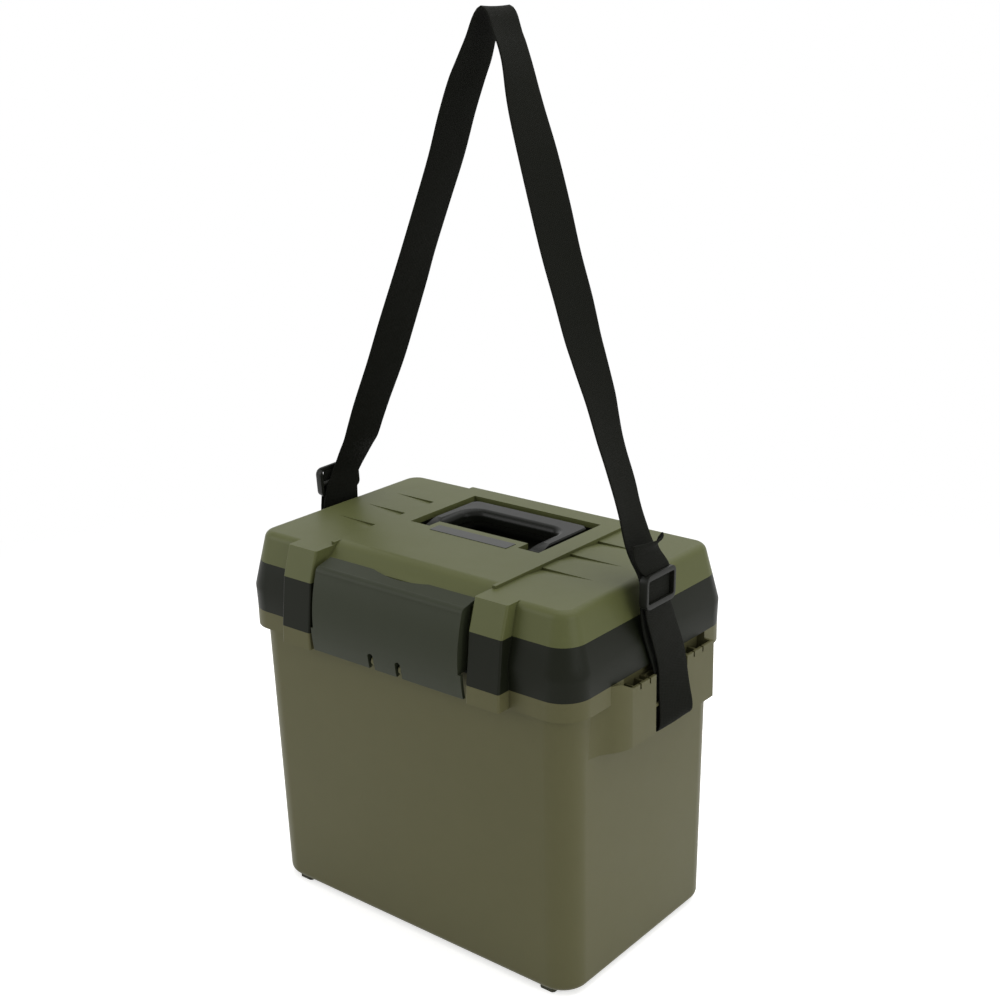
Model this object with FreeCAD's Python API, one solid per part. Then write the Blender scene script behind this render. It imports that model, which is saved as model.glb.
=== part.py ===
import FreeCAD, Part
import math
import os

V = FreeCAD.Vector

# Fishing seat box, in millimetres. +Z is up, -Y is the front with the latch,
# and the origin is on the ground under the middle of the box.

# The box at its widest line, which runs round the tray section
box_width = 380.0
box_depth = 240.0
box_corner = 28.0

# Lower box (tub)
foot_height = 4.0
tub_height = 280.5
tub_side_step = 8.5
tub_front_step = 6.0
tub_lean = 4.0
tub_corner = 26.0
tub_base_round = 7.0
tub_wall = 3.0
tub_floor = 3.0

# Collar moulded round the mouth of the tub
collar_height = 17.0

# Middle tray section, which leans out to its widest line and then in
tray_height = 46.0
tray_kink_height = 22.0
tray_lean_out = 0.8
tray_lean_in = 6.0
tray_wall = 2.5
tray_floor = 2.5
divider_thickness = 2.0
divider_height = 34.0
compartments_across = 4
divider_gap = 0.2
guide_rib = 1.5
guide_rib_reach = 3.0

# Lid
lid_height = 27.5
lid_draft = 7.0
lid_top_round = 8.0
lid_wall = 3.0
panel_width = 190.0
panel_rise = 2.5

# Locating lips under the tray section and the lid
lip_depth = 3.0
lip_thickness = 2.0
lip_clearance = 1.0

# Front posts and the bay between them that holds the latch
post_inner = 91.3
post_width = 35.2
post_stand = 12.7
post_flare = 0.6
post_rake_tray = 5.6
post_rake_lid = 9.1
post_round = 2.0
post_wall = 3.0
post_root = 12.0
bay_depth = 8.5

# Lid scoop above the latch
scoop_run = 21.0
scoop_drop = 13.0
scoop_crest = 14.0
scoop_slope = 48.0
scoop_hollow = 0.6

# Shingle steps beside the raised panel
step_count = 3
step_pitch = 41.0
step_behind_well = 31.8
step_length = 55.0
step_run = 22.0
step_depth = 2.2
step_overrun = 0.02

# Handle well and its tab
well_width = 150.0
well_length = 92.8
well_rear_margin = 32.7
well_depth = 24.0
well_wall = 2.0
well_flange = 5.0
tab_width = 104.0
tab_reach = 14.5
label_width = 90.0
label_depth = 14.5
label_thickness = 1.0
label_margin = 8.0
label_seat_depth = 0.6
label_gap = 0.2
label_corner = 1.5

# Carry handle
handle_side_gap = 7.5
handle_arm = 13.5
handle_grip = 22.0
handle_thickness = 11.0
handle_corner = 8.0
handle_inner_corner = 15.0
handle_pivot_inset = 14.5
handle_below_top = 1.0
handle_axis_drop = 10.5
handle_eye_radius = 5.5
handle_slope_run = 12.0
handle_pin_radius = 3.0
handle_pin_reach = 3.5
handle_pin_end_gap = 0.5
handle_boss_wall = 3.0
handle_grip_round = 6.5
handle_edge = 1.2

# Rear hinges
hinge_x = 95.0
hinge_width = 50.0
hinge_centre_width = 24.0
hinge_gap = 0.5
hinge_pin_radius = 2.5
pin_clearance = 0.05
tray_hinge_stand = 7.0
tray_knuckle_radius = 6.0
lid_hinge_stand = 7.5
lid_knuckle_radius = 5.5
tray_gusset = 18.0
lid_gusset = 15.0
gusset_angle = 40.0

# Front latch
latch_half_width = 84.5
latch_foot_half_width = 87.3
latch_foot_height = 22.0
latch_below_seam = 14.5
latch_set_back = 1.2
latch_rake = 4.5
latch_bow = 4.75
latch_roll_top = 17.5
latch_back_rise = 3.5
latch_roll_radius = 6.0
latch_return_gap = 1.7
latch_wall = 3.0
latch_flange_gap = 2.0
latch_flange_thickness = 2.5
latch_flange_step = 8.0
latch_axis_inset = 4.5
latch_axis_rise = 6.5
latch_bar_radius = 2.0
latch_hook_radius = 4.2
latch_hook_x = 16.0
latch_hook_width = 2.8
latch_hook_mouth = 3.4
latch_hook_rise = 2.6
latch_slot_width = 6.6
latch_slot_height = 15.0
latch_cheek = 5.0
latch_cheek_wall = 1.0
latch_cheek_top = 3.0
finger_cut_half_width = 32.0
finger_cut_depth = 5.0
finger_cut_gap = 1.0
tongue_thickness = 3.5
tongue_gap = 0.5

# Strap pockets on the sides of the tub
pocket_stand = 16.9
pocket_skin = 2.5
pocket_back = 3.0
pocket_height = 54.0
pocket_drop = 7.0
pocket_ramp_length = 41.0
pocket_ear = 34.0
pocket_rear_ear = 43.0
pocket_rib = 2.0
pocket_rib_steps = (10.0, 24.0)
pocket_rib_drop = 4.0
pocket_slope_run = 14.0
pocket_seam_gap = 0.3
pocket_ramp_bow = 0.3
window_middle_y = 14.0
window_width = 48.0
strap_bar_radius = 1.7
strap_bar_inset = 3.2
strap_bar_rise = 23.5

# Shoulder strap webbing and its sliders
webbing_width = 38.0
webbing_thickness = 1.5
webbing_gap = 0.3
strap_fold_rise = 6.5
strap_lean_rise = 38.5
right_lean = 0.24
left_lean = 0.04
slider_height = 29.0
slider_side_gap = 0.6
slider_rail = 2.8
slider_bar = 4.5
slider_front = 2.6
slider_corner = 3.5
splice_rise = 2.0
right_slider_z = 357.0
left_slider_z = 375.0
right_tail = 24.0
left_tail = 5.0
tail_curl = 0.27
bend_steps = 8

# Feet
foot_length = 16.0
foot_depth = 8.0
foot_x = 149.0
foot_y = 101.0
foot_corner = 2.0

# How far one moulded feature runs into the next, and a cutter past a face
bite = 1.0

# Heights of the seams and the top
tub_top_z = foot_height + tub_height
tray_top_z = tub_top_z + tray_height
lid_top_z = tray_top_z + lid_height
panel_top_z = lid_top_z + panel_rise
far = 400.0

# Half width and half depth of the walls at the seams
kink_x, kink_y = box_width / 2, box_depth / 2
collar_x, collar_y = kink_x - tray_lean_out, kink_y - tray_lean_out
lid_x, lid_y = kink_x - tray_lean_in, kink_y - tray_lean_in
tub_x, tub_y = kink_x - tub_side_step, kink_y - tub_front_step
collar_corner = box_corner - tray_lean_out
lid_corner = box_corner - tray_lean_in

# Leaning walls: half width, half depth and corner at the low end, both heights, and the lean
tub_form = (tub_x - tub_lean, tub_y - tub_lean, tub_corner, foot_height, tub_top_z, tub_lean)
collar_form = (collar_x, collar_y, collar_corner, tub_top_z - collar_height, tub_top_z, 0.0)
tray_low_form = (collar_x, collar_y, collar_corner,
                 tub_top_z, tub_top_z + tray_kink_height, tray_lean_out)
tray_high_form = (kink_x, kink_y, box_corner,
                  tub_top_z + tray_kink_height, tray_top_z, -tray_lean_in)
lid_form = (lid_x, lid_y, lid_corner, tray_top_z, lid_top_z, -lid_draft)

# Front posts and bay
post_outer = post_inner + post_width
post_reach_seam = kink_y + post_stand
post_reach_bottom = post_reach_seam + post_flare
post_reach_tray_top = post_reach_seam - post_rake_tray
post_reach_lid_top = post_reach_tray_top - post_rake_lid
bay_wall_reach = lid_y - bay_depth
scoop_top_reach = bay_wall_reach - scoop_run
panel_reach = bay_wall_reach - bay_depth - 2 * bite

# Places on the lid, counted from its rear edge
well_rear_y = lid_y - well_rear_margin
well_front_y = well_rear_y - well_length
label_front_y = well_front_y - label_margin
handle_pivot_y = well_front_y + handle_pivot_inset
step_rear_y = well_rear_y - step_behind_well

# Hinge axes behind the rear wall
tray_axis_y = kink_y + tray_hinge_stand
lid_axis_y = lid_y + lid_hinge_stand

# Latch, placed from the posts and the bay
latch_bottom = tub_top_z - latch_below_seam
latch_foot_top = latch_bottom + latch_foot_height
latch_front_y = -post_reach_seam + latch_set_back
latch_top_front_y = latch_front_y + latch_rake
latch_roll_z = tray_top_z + latch_roll_top
latch_return_y = -bay_wall_reach - latch_return_gap
latch_flange_back_y = -lid_y - latch_flange_gap
latch_axis_y = latch_front_y + latch_axis_inset
latch_axis_z = latch_bottom + latch_axis_rise
latch_slot_top = latch_bottom + latch_slot_height

# Strap pocket, placed from the tub's wall and the window
pocket_top_z = tub_top_z - pocket_drop
pocket_bottom_z = pocket_top_z - pocket_height
window_front_y = window_middle_y - window_width / 2
window_rear_y = window_middle_y + window_width / 2
pocket_ramp_rear_y = window_front_y - pocket_ear
pocket_ramp_front_y = pocket_ramp_rear_y - pocket_ramp_length
pocket_rear_y = window_rear_y + pocket_rear_ear
strap_bar_z = pocket_bottom_z + strap_bar_rise
strap_fold_z = pocket_bottom_z + strap_fold_rise
strap_lean_start_z = pocket_bottom_z + strap_lean_rise

# Middle line of the upper webbing: x and z of each point and the twist of the
# webbing about its own length, from the right slider over the top to the left one.
strap_route = [
    (188.5, 385.0, -1.0),
    (185.0, 394.0, -5.0),
    (178.0, 405.0, -6.0),
    (170.0, 418.0, -3.0),
    (158.5, 441.0, 5.0),
    (146.3, 472.0, 13.0),
    (133.8, 504.0, 18.0),
    (120.6, 535.0, 21.0),
    (96.5, 598.0, 23.0),
    (68.0, 678.0, 21.0),
    (53.0, 716.0, 18.0),
    (35.5, 772.0, 9.0),
    (25.5, 800.0, 3.0),
    (18.0, 811.5, 0.0),
    (10.0, 814.2, 0.0),
    (2.0, 811.5, 0.0),
    (-4.0, 800.0, 3.0),
    (-12.0, 771.0, 9.0),
    (-36.0, 713.0, 16.0),
    (-51.0, 671.0, 18.0),
    (-87.1, 580.0, 20.0),
    (-104.0, 541.0, 20.0),
    (-138.5, 462.0, 15.0),
    (-157.0, 421.0, 12.0),
    (-171.0, 409.0, 7.0),
    (-184.0, 402.0, 3.0),
]
strap_apex_y = 24.0


def box(x0, x1, y0, y1, z0, z1):
    """Block between two corners."""
    return Part.makeBox(x1 - x0, y1 - y0, z1 - z0, V(x0, y0, z0))


def quarter_cone(low_radius, high_radius, x, y, z0, z1, turn):
    """One corner of a leaning block, standing on its own upright axis."""
    at = V(x, y, z0)
    if abs(low_radius - high_radius) < 0.001:
        piece = Part.makeCylinder(low_radius, z1 - z0, at, V(0, 0, 1), 90)
    else:
        piece = Part.makeCone(low_radius, high_radius, z1 - z0, at, V(0, 0, 1), 90)
    piece.rotate(at, V(0, 0, 1), turn)
    return piece


def leaning_slabs(a, b, spread, low, high, reach_x, reach_y):
    """Two slabs with leaning ends, one between left and right and one between front and rear."""
    across = [(a, low), (a + spread, high), (-a - spread, high), (-a, low), (a, low)]
    wire = Part.makePolygon([V(x, -reach_y, z) for x, z in across])
    along = [(-b, low), (b, low), (b + spread, high), (-b - spread, high)]
    return [Part.Face(wire).extrude(V(0, 2 * reach_y, 0)), side_profile(along, -reach_x, reach_x)]


def wall_size(form, low, high, inset):
    """Half width and half depth at the low height, and how far the wall then spreads."""
    half_x, half_y, _, z0, z1, lean = form
    slope = lean / (z1 - z0)
    grow = slope * (low - z0) - inset
    return half_x + grow, half_y + grow, slope * (high - low)


def drafted(form, low, high, inset=0.0):
    """Block inside a leaning wall between two heights, with flat sides and conical corners."""
    a, b, spread = wall_size(form, low, high, inset)
    r = form[2] + a - form[0]
    cx, cy = a - r, b - r
    corners = [quarter_cone(r, r + spread, sx * cx, sy * cy, low, high, turn)
               for sx, sy, turn in ((1, 1, 0), (-1, 1, 90), (-1, -1, 180), (1, -1, 270))]
    return fuse(corners + leaning_slabs(a, b, spread, low, high, cx, cy))


def tapered(form, low, high, inset=0.0):
    """Block inside a leaning wall between two heights, with corners of one radius."""
    a, b, spread = wall_size(form, low, high, inset)
    across, along = leaning_slabs(a, b, spread, low, high, far, far)

    def is_corner(edge):
        return abs(edge.Vertexes[0].Z - edge.Vertexes[-1].Z) > (high - low) / 2
    return round_edges(across.common(along), form[2] - inset, is_corner)


def side_profile(points, x0, x1):
    """Solid from a closed outline in the YZ plane, drawn out along X."""
    wire = Part.makePolygon([V(x0, y, z) for y, z in points] + [V(x0, *points[0])])
    return Part.Face(wire).extrude(V(x1 - x0, 0, 0))


def rod_x(radius, x0, x1, y, z):
    """Round bar along X."""
    return Part.makeCylinder(radius, x1 - x0, V(x0, y, z), V(1, 0, 0))


def fuse(shapes):
    """Join solids into one and drop the seams between coplanar faces."""
    return shapes[0].multiFuse(shapes[1:]).removeSplitter()


def mirrored(shape):
    """The same piece on the other side of the box."""
    return shape.mirror(V(0, 0, 0), V(1, 0, 0))


def both_sides(shape):
    return [shape, mirrored(shape)]


def is_at(edge, z):
    """True when an edge lies in the level plane at z."""
    return all(abs(v.Z - z) < 0.01 for v in edge.Vertexes)


def round_edges(shape, radius, chosen):
    edges = [e for e in shape.Edges if chosen(e)]
    return shape.makeFillet(radius, edges)


def post(front_low, front_high, z0, z1, back):
    """Front post segment on the right side, with its outer corners rounded."""
    body = side_profile([(-back, z0), (-front_low, z0), (-front_high, z1), (-back, z1)],
                        post_inner, post_outer)

    def is_front_corner(edge):
        rises = abs(edge.Vertexes[0].Z - edge.Vertexes[1].Z) > (z1 - z0) / 2
        return rises and all(v.Y < -back - bite for v in edge.Vertexes)
    return round_edges(body, post_round, is_front_corner)


def post_hollow(front_low, front_high, z0, z1, back):
    """Room inside a post, open towards the inside of the box."""
    reach_low, reach_high = front_low - post_wall, front_high - post_wall
    return side_profile([(-back, z0), (-reach_low, z0), (-reach_high, z1), (-back, z1)],
                        post_inner + post_wall, post_outer - post_wall)


# Tub
def tub_wall_reach(z):
    """Half width and half depth of the tub's outside at a height."""
    back = tub_lean * (tub_top_z - z) / tub_height
    return tub_x - back, tub_y - back


def tub_outside():
    body = tapered(tub_form, foot_height, tub_top_z)
    return round_edges(body, tub_base_round, lambda e: is_at(e, foot_height))


def tub_inside():
    return tapered(tub_form, foot_height + tub_floor, tub_top_z + bite, tub_wall)


def collar():
    z0 = tub_top_z - collar_height
    ring = drafted(collar_form, z0, tub_top_z)
    bay = box(-post_inner, post_inner, -far, -tub_y, z0 - bite, tub_top_z + bite)
    ring = ring.cut(bay)
    pocket = box(tub_x, far, pocket_ramp_rear_y - pocket_rib,
                 pocket_rear_y - pocket_skin, z0 - bite, tub_top_z + bite)
    for shape in both_sides(pocket):
        ring = ring.cut(shape)
    return ring


def knuckle(x0, x1, y, z, radius, wall_y, gusset):
    """Hinge knuckle with the gusset that carries it, above or below the pin."""
    up = 1 if gusset > 0 else -1
    lean = math.radians(gusset_angle)
    barrel = rod_x(radius, x0, x1, y, z)
    edge_y = y + radius * math.cos(lean)
    edge_z = z + up * radius * math.sin(lean)
    web = side_profile([(wall_y, z), (y, z), (edge_y, edge_z), (wall_y, z + gusset)], x0, x1)
    return barrel.fuse(web)


def knuckle_spans(outer):
    """Where the knuckles of one right-hand hinge lie along X."""
    x0, x1 = hinge_x - hinge_width / 2, hinge_x + hinge_width / 2
    c0, c1 = hinge_x - hinge_centre_width / 2, hinge_x + hinge_centre_width / 2
    if outer:
        return [(x0, c0 - hinge_gap), (c1 + hinge_gap, x1)]
    return [(c0, c1)]


def hinge_side(outer, y, z, radius, wall_y, gusset):
    """All knuckles that one piece carries, at both hinges."""
    right = [knuckle(a, b, y, z, radius, wall_y, gusset) for a, b in knuckle_spans(outer)]
    return right + [mirrored(k) for k in right]


def pin_bores(y, z):
    """Bores through the knuckles of both hinges."""
    x0 = hinge_x - hinge_width / 2 - bite
    x1 = hinge_x + hinge_width / 2 + bite
    return both_sides(rod_x(hinge_pin_radius + pin_clearance, x0, x1, y, z))


def latch_hook():
    """Curved fin that grips the latch's bar, snapped on from above."""
    x0 = latch_hook_x - latch_hook_width / 2
    x1 = latch_hook_x + latch_hook_width / 2
    disc = rod_x(latch_hook_radius, x0, x1, latch_axis_y, latch_axis_z)
    back = -tub_wall_reach(tub_top_z - collar_height)[1] + bite
    arm = side_profile([(latch_axis_y, latch_axis_z - latch_hook_radius),
                        (back, latch_axis_z - 2 * latch_hook_radius),
                        (back, latch_axis_z + latch_hook_rise),
                        (latch_axis_y + latch_hook_rise, latch_axis_z + latch_hook_rise)], x0, x1)
    bore = rod_x(latch_bar_radius + pin_clearance, x0 - bite, x1 + bite, latch_axis_y, latch_axis_z)
    mouth = box(x0 - bite, x1 + bite, latch_axis_y - latch_hook_mouth / 2,
                latch_axis_y + latch_hook_mouth / 2, latch_axis_z, latch_axis_z + 2 * latch_hook_radius)
    return disc.fuse(arm).cut(bore).cut(mouth)


def tub():
    stub = post(post_reach_bottom, post_reach_seam, tub_top_z - collar_height + bite, tub_top_z,
                tub_y - bite)
    shell = fuse([tub_outside(), collar()] + both_sides(stub))
    shell = shell.cut(tub_inside())
    knuckles = hinge_side(True, tray_axis_y, tub_top_z, tray_knuckle_radius,
                          collar_y - bite, -tray_gusset)
    shell = fuse([shell] + knuckles + both_sides(latch_hook()))
    for bore in pin_bores(tray_axis_y, tub_top_z):
        shell = shell.cut(bore)
    return shell.cut(room_for_knuckles(tray_axis_y, tub_top_z, tray_knuckle_radius))


def room_for_knuckles(y, z, radius):
    """Clearance for the centre knuckles that turn between the outer ones."""
    rooms = []
    for a, b in knuckle_spans(False):
        rooms += both_sides(rod_x(radius + hinge_gap, a - hinge_gap, b + hinge_gap, y, z))
    return rooms[0].fuse(rooms[1])


def feet():
    pads = []
    for sx in (-1, 1):
        for sy in (-1, 1):
            pad = box(sx * foot_x - foot_length / 2, sx * foot_x + foot_length / 2,
                      sy * foot_y - foot_depth / 2, sy * foot_y + foot_depth / 2, 0, foot_height)
            pads.append(pad.makeChamfer(foot_corner, [e for e in pad.Edges if is_upright(e)]))
    return pads


# Strap pockets
def pocket_reach():
    """How far out the pocket's flat face lies from the middle of the box."""
    return tub_wall_reach(pocket_bottom_z)[0] + pocket_stand


def pocket_plan(inset):
    """Outline of the pocket in plan, from the tub wall out and back."""
    x = pocket_reach() - inset
    start_x = tub_wall_reach(pocket_bottom_z)[0]
    root_x = start_x - 2 * bite
    y0 = pocket_ramp_front_y + inset
    y1 = pocket_ramp_rear_y
    y2 = pocket_rear_y - inset
    mid = V((start_x + x) / 2, (y0 + y1) / 2, 0)
    bow = (mid.x - start_x) * pocket_ramp_bow
    ramp_a = Part.Arc(V(start_x, y0, 0), V(start_x + bow, (y0 + mid.y) / 2, 0), mid)
    ramp_b = Part.Arc(mid, V(x - bow, (y1 + mid.y) / 2, 0), V(x, y1, 0))
    edges = [
        Part.LineSegment(V(root_x, y0, 0), V(start_x, y0, 0)),
        ramp_a,
        ramp_b,
        Part.LineSegment(V(x, y1, 0), V(x, y2, 0)),
        Part.LineSegment(V(x, y2, 0), V(root_x, y2, 0)),
        Part.LineSegment(V(root_x, y2, 0), V(root_x, y0, 0)),
    ]
    return Part.Face(Part.Wire([e.toShape() for e in edges]))


def pocket_ribs():
    """Front edges of the upright ribs that stand behind the notches."""
    front = [window_front_y - step for step in pocket_rib_steps]
    rear = [window_rear_y + step for step in pocket_rib_steps]
    return front + rear


def strap_pocket(tub_solid):
    """Right strap pocket: two ears with ribs, joined by a back wall, and the strap's bar."""
    face_x = pocket_reach()
    root_x = tub_wall_reach(pocket_bottom_z)[0] - 2 * bite
    ramp_top = tub_top_z - pocket_seam_gap
    height = ramp_top - pocket_bottom_z
    outer = pocket_plan(0).extrude(V(0, 0, height))
    inner = pocket_plan(pocket_skin).extrude(V(0, 0, height + 2 * bite))
    outer.translate(V(0, 0, pocket_bottom_z))
    inner.translate(V(0, 0, pocket_bottom_z - bite))
    skin = outer.cut(inner)
    rib_top = pocket_top_z - pocket_rib_drop
    ribs = [box(root_x, face_x - pocket_skin / 2, y, y + pocket_rib, pocket_bottom_z, rib_top)
            for y in pocket_ribs() + [window_front_y - pocket_rib, window_rear_y]]
    back_x = tub_wall_reach(rib_top)[0] + pocket_back
    back = box(root_x, back_x, window_front_y - pocket_rib, window_rear_y + pocket_rib,
               pocket_bottom_z, rib_top)
    bar = Part.makeCylinder(strap_bar_radius, window_width + 2 * bite,
                            V(strap_bar_x(), window_front_y - bite, strap_bar_z), V(0, 1, 0))
    window = box(face_x - 2 * pocket_skin, far, window_front_y, window_rear_y, 0, far)
    slope_start = pocket_ramp_rear_y - pocket_slope_run
    slope = side_profile([(slope_start, ramp_top + bite), (pocket_ramp_rear_y, pocket_top_z),
                          (far, pocket_top_z), (far, ramp_top + bite)], 0, far)
    body = fuse([skin, back] + ribs).cut(window)
    body = fuse([body, bar]).cut(slope)
    for y in pocket_ribs():
        body = body.cut(box(face_x - 2 * pocket_skin, far, y, y + pocket_rib, rib_top - bite, far))
    body = body.cut(tub_solid)
    return max(body.Solids, key=lambda s: s.Volume)


# Middle tray section
def tray_outside():
    kink_z = tub_top_z + tray_kink_height
    return drafted(tray_low_form, tub_top_z, kink_z).fuse(
        drafted(tray_high_form, kink_z, tray_top_z))


def tray_inside():
    kink_z = tub_top_z + tray_kink_height
    low = drafted(tray_low_form, tub_top_z + tray_floor, kink_z, tray_wall)
    high = drafted(tray_high_form, kink_z, tray_top_z + bite, tray_wall)
    behind_bay = box(-post_inner - tray_wall, post_inner + tray_wall, -far,
                     -bay_wall_reach + tray_wall, 0, far)
    return fuse([low, high]).cut(behind_bay)


def divider_places():
    """Middle of each cross divider along X."""
    pitch = 2 * collar_x / compartments_across
    return [i * pitch - collar_x for i in range(1, compartments_across)]


def divider_rows():
    """Front and rear end of the dividers in front of and behind the middle wall."""
    wall = divider_thickness / 2 + divider_gap
    end = bay_wall_reach - tray_wall - divider_gap
    return [(-end, -wall), (wall, end)]


def tray_walls():
    """Moulded wall along the middle, and guide ribs that hold the loose dividers."""
    z0, z1 = tub_top_z + tray_floor - bite, tub_top_z + tray_floor + divider_height
    half_w = collar_x - tray_wall / 2
    t = divider_thickness / 2
    walls = [box(-half_w, half_w, -t, t, z0, z1)]
    for x in divider_places():
        for y0, y1 in divider_rows():
            ends = ((y0 - divider_gap, y0 + guide_rib_reach), (y1 - guide_rib_reach, y1 + divider_gap))
            for a, b in ends:
                near = x + t + divider_gap
                walls.append(box(near, near + guide_rib, a, b, z0, z1))
                walls.append(box(2 * x - near - guide_rib, 2 * x - near, a, b, z0, z1))
    return walls


def tray_dividers():
    """Loose cross dividers, slid down between their guide ribs."""
    z0 = tub_top_z + tray_floor
    dividers = []
    for x in divider_places():
        for y0, y1 in divider_rows():
            plate = box(x - divider_thickness / 2, x + divider_thickness / 2, y0, y1,
                        z0, z0 + divider_height)
            dividers.append(plate)
    return dividers


def lip(form, z_top, drop, inset, thickness, bay_half, bay_y):
    """Rib that runs round inside a rim and hangs below it, open at the latch bay."""
    x, y, corner = form[:3]
    upright = (x, y, corner, z_top - drop, z_top, 0.0)
    ring = drafted(upright, z_top - drop, z_top, inset).cut(
        drafted(upright, z_top - drop - bite, z_top + bite, inset + thickness))
    if bay_half:
        ring = ring.cut(box(-bay_half, bay_half, -far, -bay_y, 0, far))
    return ring


def tray_section():
    segment = post(post_reach_seam, post_reach_tray_top, tub_top_z, tray_top_z,
                   lid_y - tray_wall)
    hollow = post_hollow(post_reach_seam, post_reach_tray_top, tub_top_z + tray_floor,
                         tray_top_z + bite, lid_y - 2 * tray_wall)
    shell = fuse([tray_outside()] + both_sides(segment))
    ledge_z = tub_top_z + tray_floor
    bay = box(-post_inner, post_inner, -far, -bay_wall_reach, ledge_z, far)
    ledge_front = box(-post_inner, post_inner, -far, -tub_y, 0, far)
    shell = shell.cut(bay).cut(ledge_front).cut(tray_inside())
    for shape in both_sides(hollow):
        shell = shell.cut(shape)
    mouth = (tub_x, tub_y, tub_corner)
    bottom_lip = lip(mouth, tub_top_z, lip_depth, tub_wall + lip_clearance, lip_thickness, 0, 0)
    lower = hinge_side(False, tray_axis_y, tub_top_z, tray_knuckle_radius,
                       collar_y - bite, tray_gusset)
    upper = hinge_side(True, lid_axis_y, tray_top_z, lid_knuckle_radius,
                       lid_y - bite, -lid_gusset)
    shell = fuse([shell] + tray_walls() + [bottom_lip] + lower + upper)
    for bore in pin_bores(tray_axis_y, tub_top_z) + pin_bores(lid_axis_y, tray_top_z):
        shell = shell.cut(bore)
    return shell.cut(room_for_knuckles(lid_axis_y, tray_top_z, lid_knuckle_radius))


# Lid
def lid_body(rise):
    body = drafted(lid_form, tray_top_z, lid_top_z + rise)
    return round_edges(body, lid_top_round, lambda e: is_at(e, lid_top_z + rise))


def lid_inside():
    body = drafted(lid_form, tray_top_z - bite, lid_top_z - lid_wall, lid_wall)
    behind_bay = box(-post_inner - lid_wall, post_inner + lid_wall, -far,
                     -bay_wall_reach + lid_wall, 0, far)
    slope_y = scoop_top_reach - lid_wall
    behind_scoop = side_profile([(-far, lid_top_z - scoop_drop - lid_wall),
                                 (-bay_wall_reach, lid_top_z - scoop_drop - lid_wall),
                                 (-slope_y, lid_top_z), (-far, lid_top_z)],
                                -post_inner - lid_wall, post_inner + lid_wall)
    return body.cut(behind_bay).cut(behind_scoop)


def lid_bay():
    """Room for the latch, and the scoop that rolls over from the panel down to it."""
    low = V(0, -bay_wall_reach, panel_top_z - scoop_drop)
    top = V(0, -scoop_top_reach, panel_top_z)
    centre = top - V(0, 0, scoop_crest)
    full, half = math.radians(scoop_slope), math.radians(scoop_slope / 2)
    turn = centre + V(0, -math.sin(full), math.cos(full)) * scoop_crest
    crest = centre + V(0, -math.sin(half), math.cos(half)) * scoop_crest
    along = (turn - low).normalize()
    dish = (turn + low) * 0.5 + V(0, along.z, -along.y) * scoop_hollow
    points = [top, V(0, top.y, far), V(0, -far, far), V(0, -far, tray_top_z - bite),
              V(0, low.y, tray_top_z - bite), low]
    edges = [Part.Arc(low, dish, turn).toShape(), Part.Arc(turn, crest, top).toShape()]
    profile = Part.Face(Part.Wire(Part.__sortEdges__(edges + list(Part.makePolygon(points).Edges))))
    profile.translate(V(-post_inner, 0, 0))
    return profile.extrude(V(2 * post_inner, 0, 0))


def finger_arc(gap):
    """Shallow round cut in the latch's top edge, smaller by the gap for the lid's tongue."""
    half, deep = finger_cut_half_width - gap, finger_cut_depth - gap
    radius = (half ** 2 + deep ** 2) / (2 * deep)
    y = latch_return_y - deep + radius
    return Part.makeCylinder(radius, far, V(0, y, 0))


def step_wedge(y):
    """Tapered hollow in front of one shingle step, deepest beside the panel."""
    x0 = panel_width / 2
    top = lid_top_z + step_overrun
    a, b = V(x0, y, top), V(x0 + step_length, y, top)
    c, d = V(x0, y - step_run, top), V(x0, y, top - step_depth)
    faces = [Part.Face(Part.makePolygon([p, q, r, p])) for p, q, r in
             ((a, c, b), (a, b, d), (b, c, d), (a, d, c))]
    return Part.makeSolid(Part.makeShell(faces))


def tongue():
    """Low crescent on the bay wall that fills the latch's finger cut."""
    run = latch_return_y - (latch_top_front_y + latch_roll_radius)
    drop = latch_back_rise * finger_cut_depth / run
    top = latch_roll_z + latch_back_rise - latch_wall - tongue_gap - drop
    plate = box(-far, far, -bay_wall_reach - finger_cut_depth, -bay_wall_reach + bite,
                top - tongue_thickness, top)
    return plate.common(finger_arc(finger_cut_gap))


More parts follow.
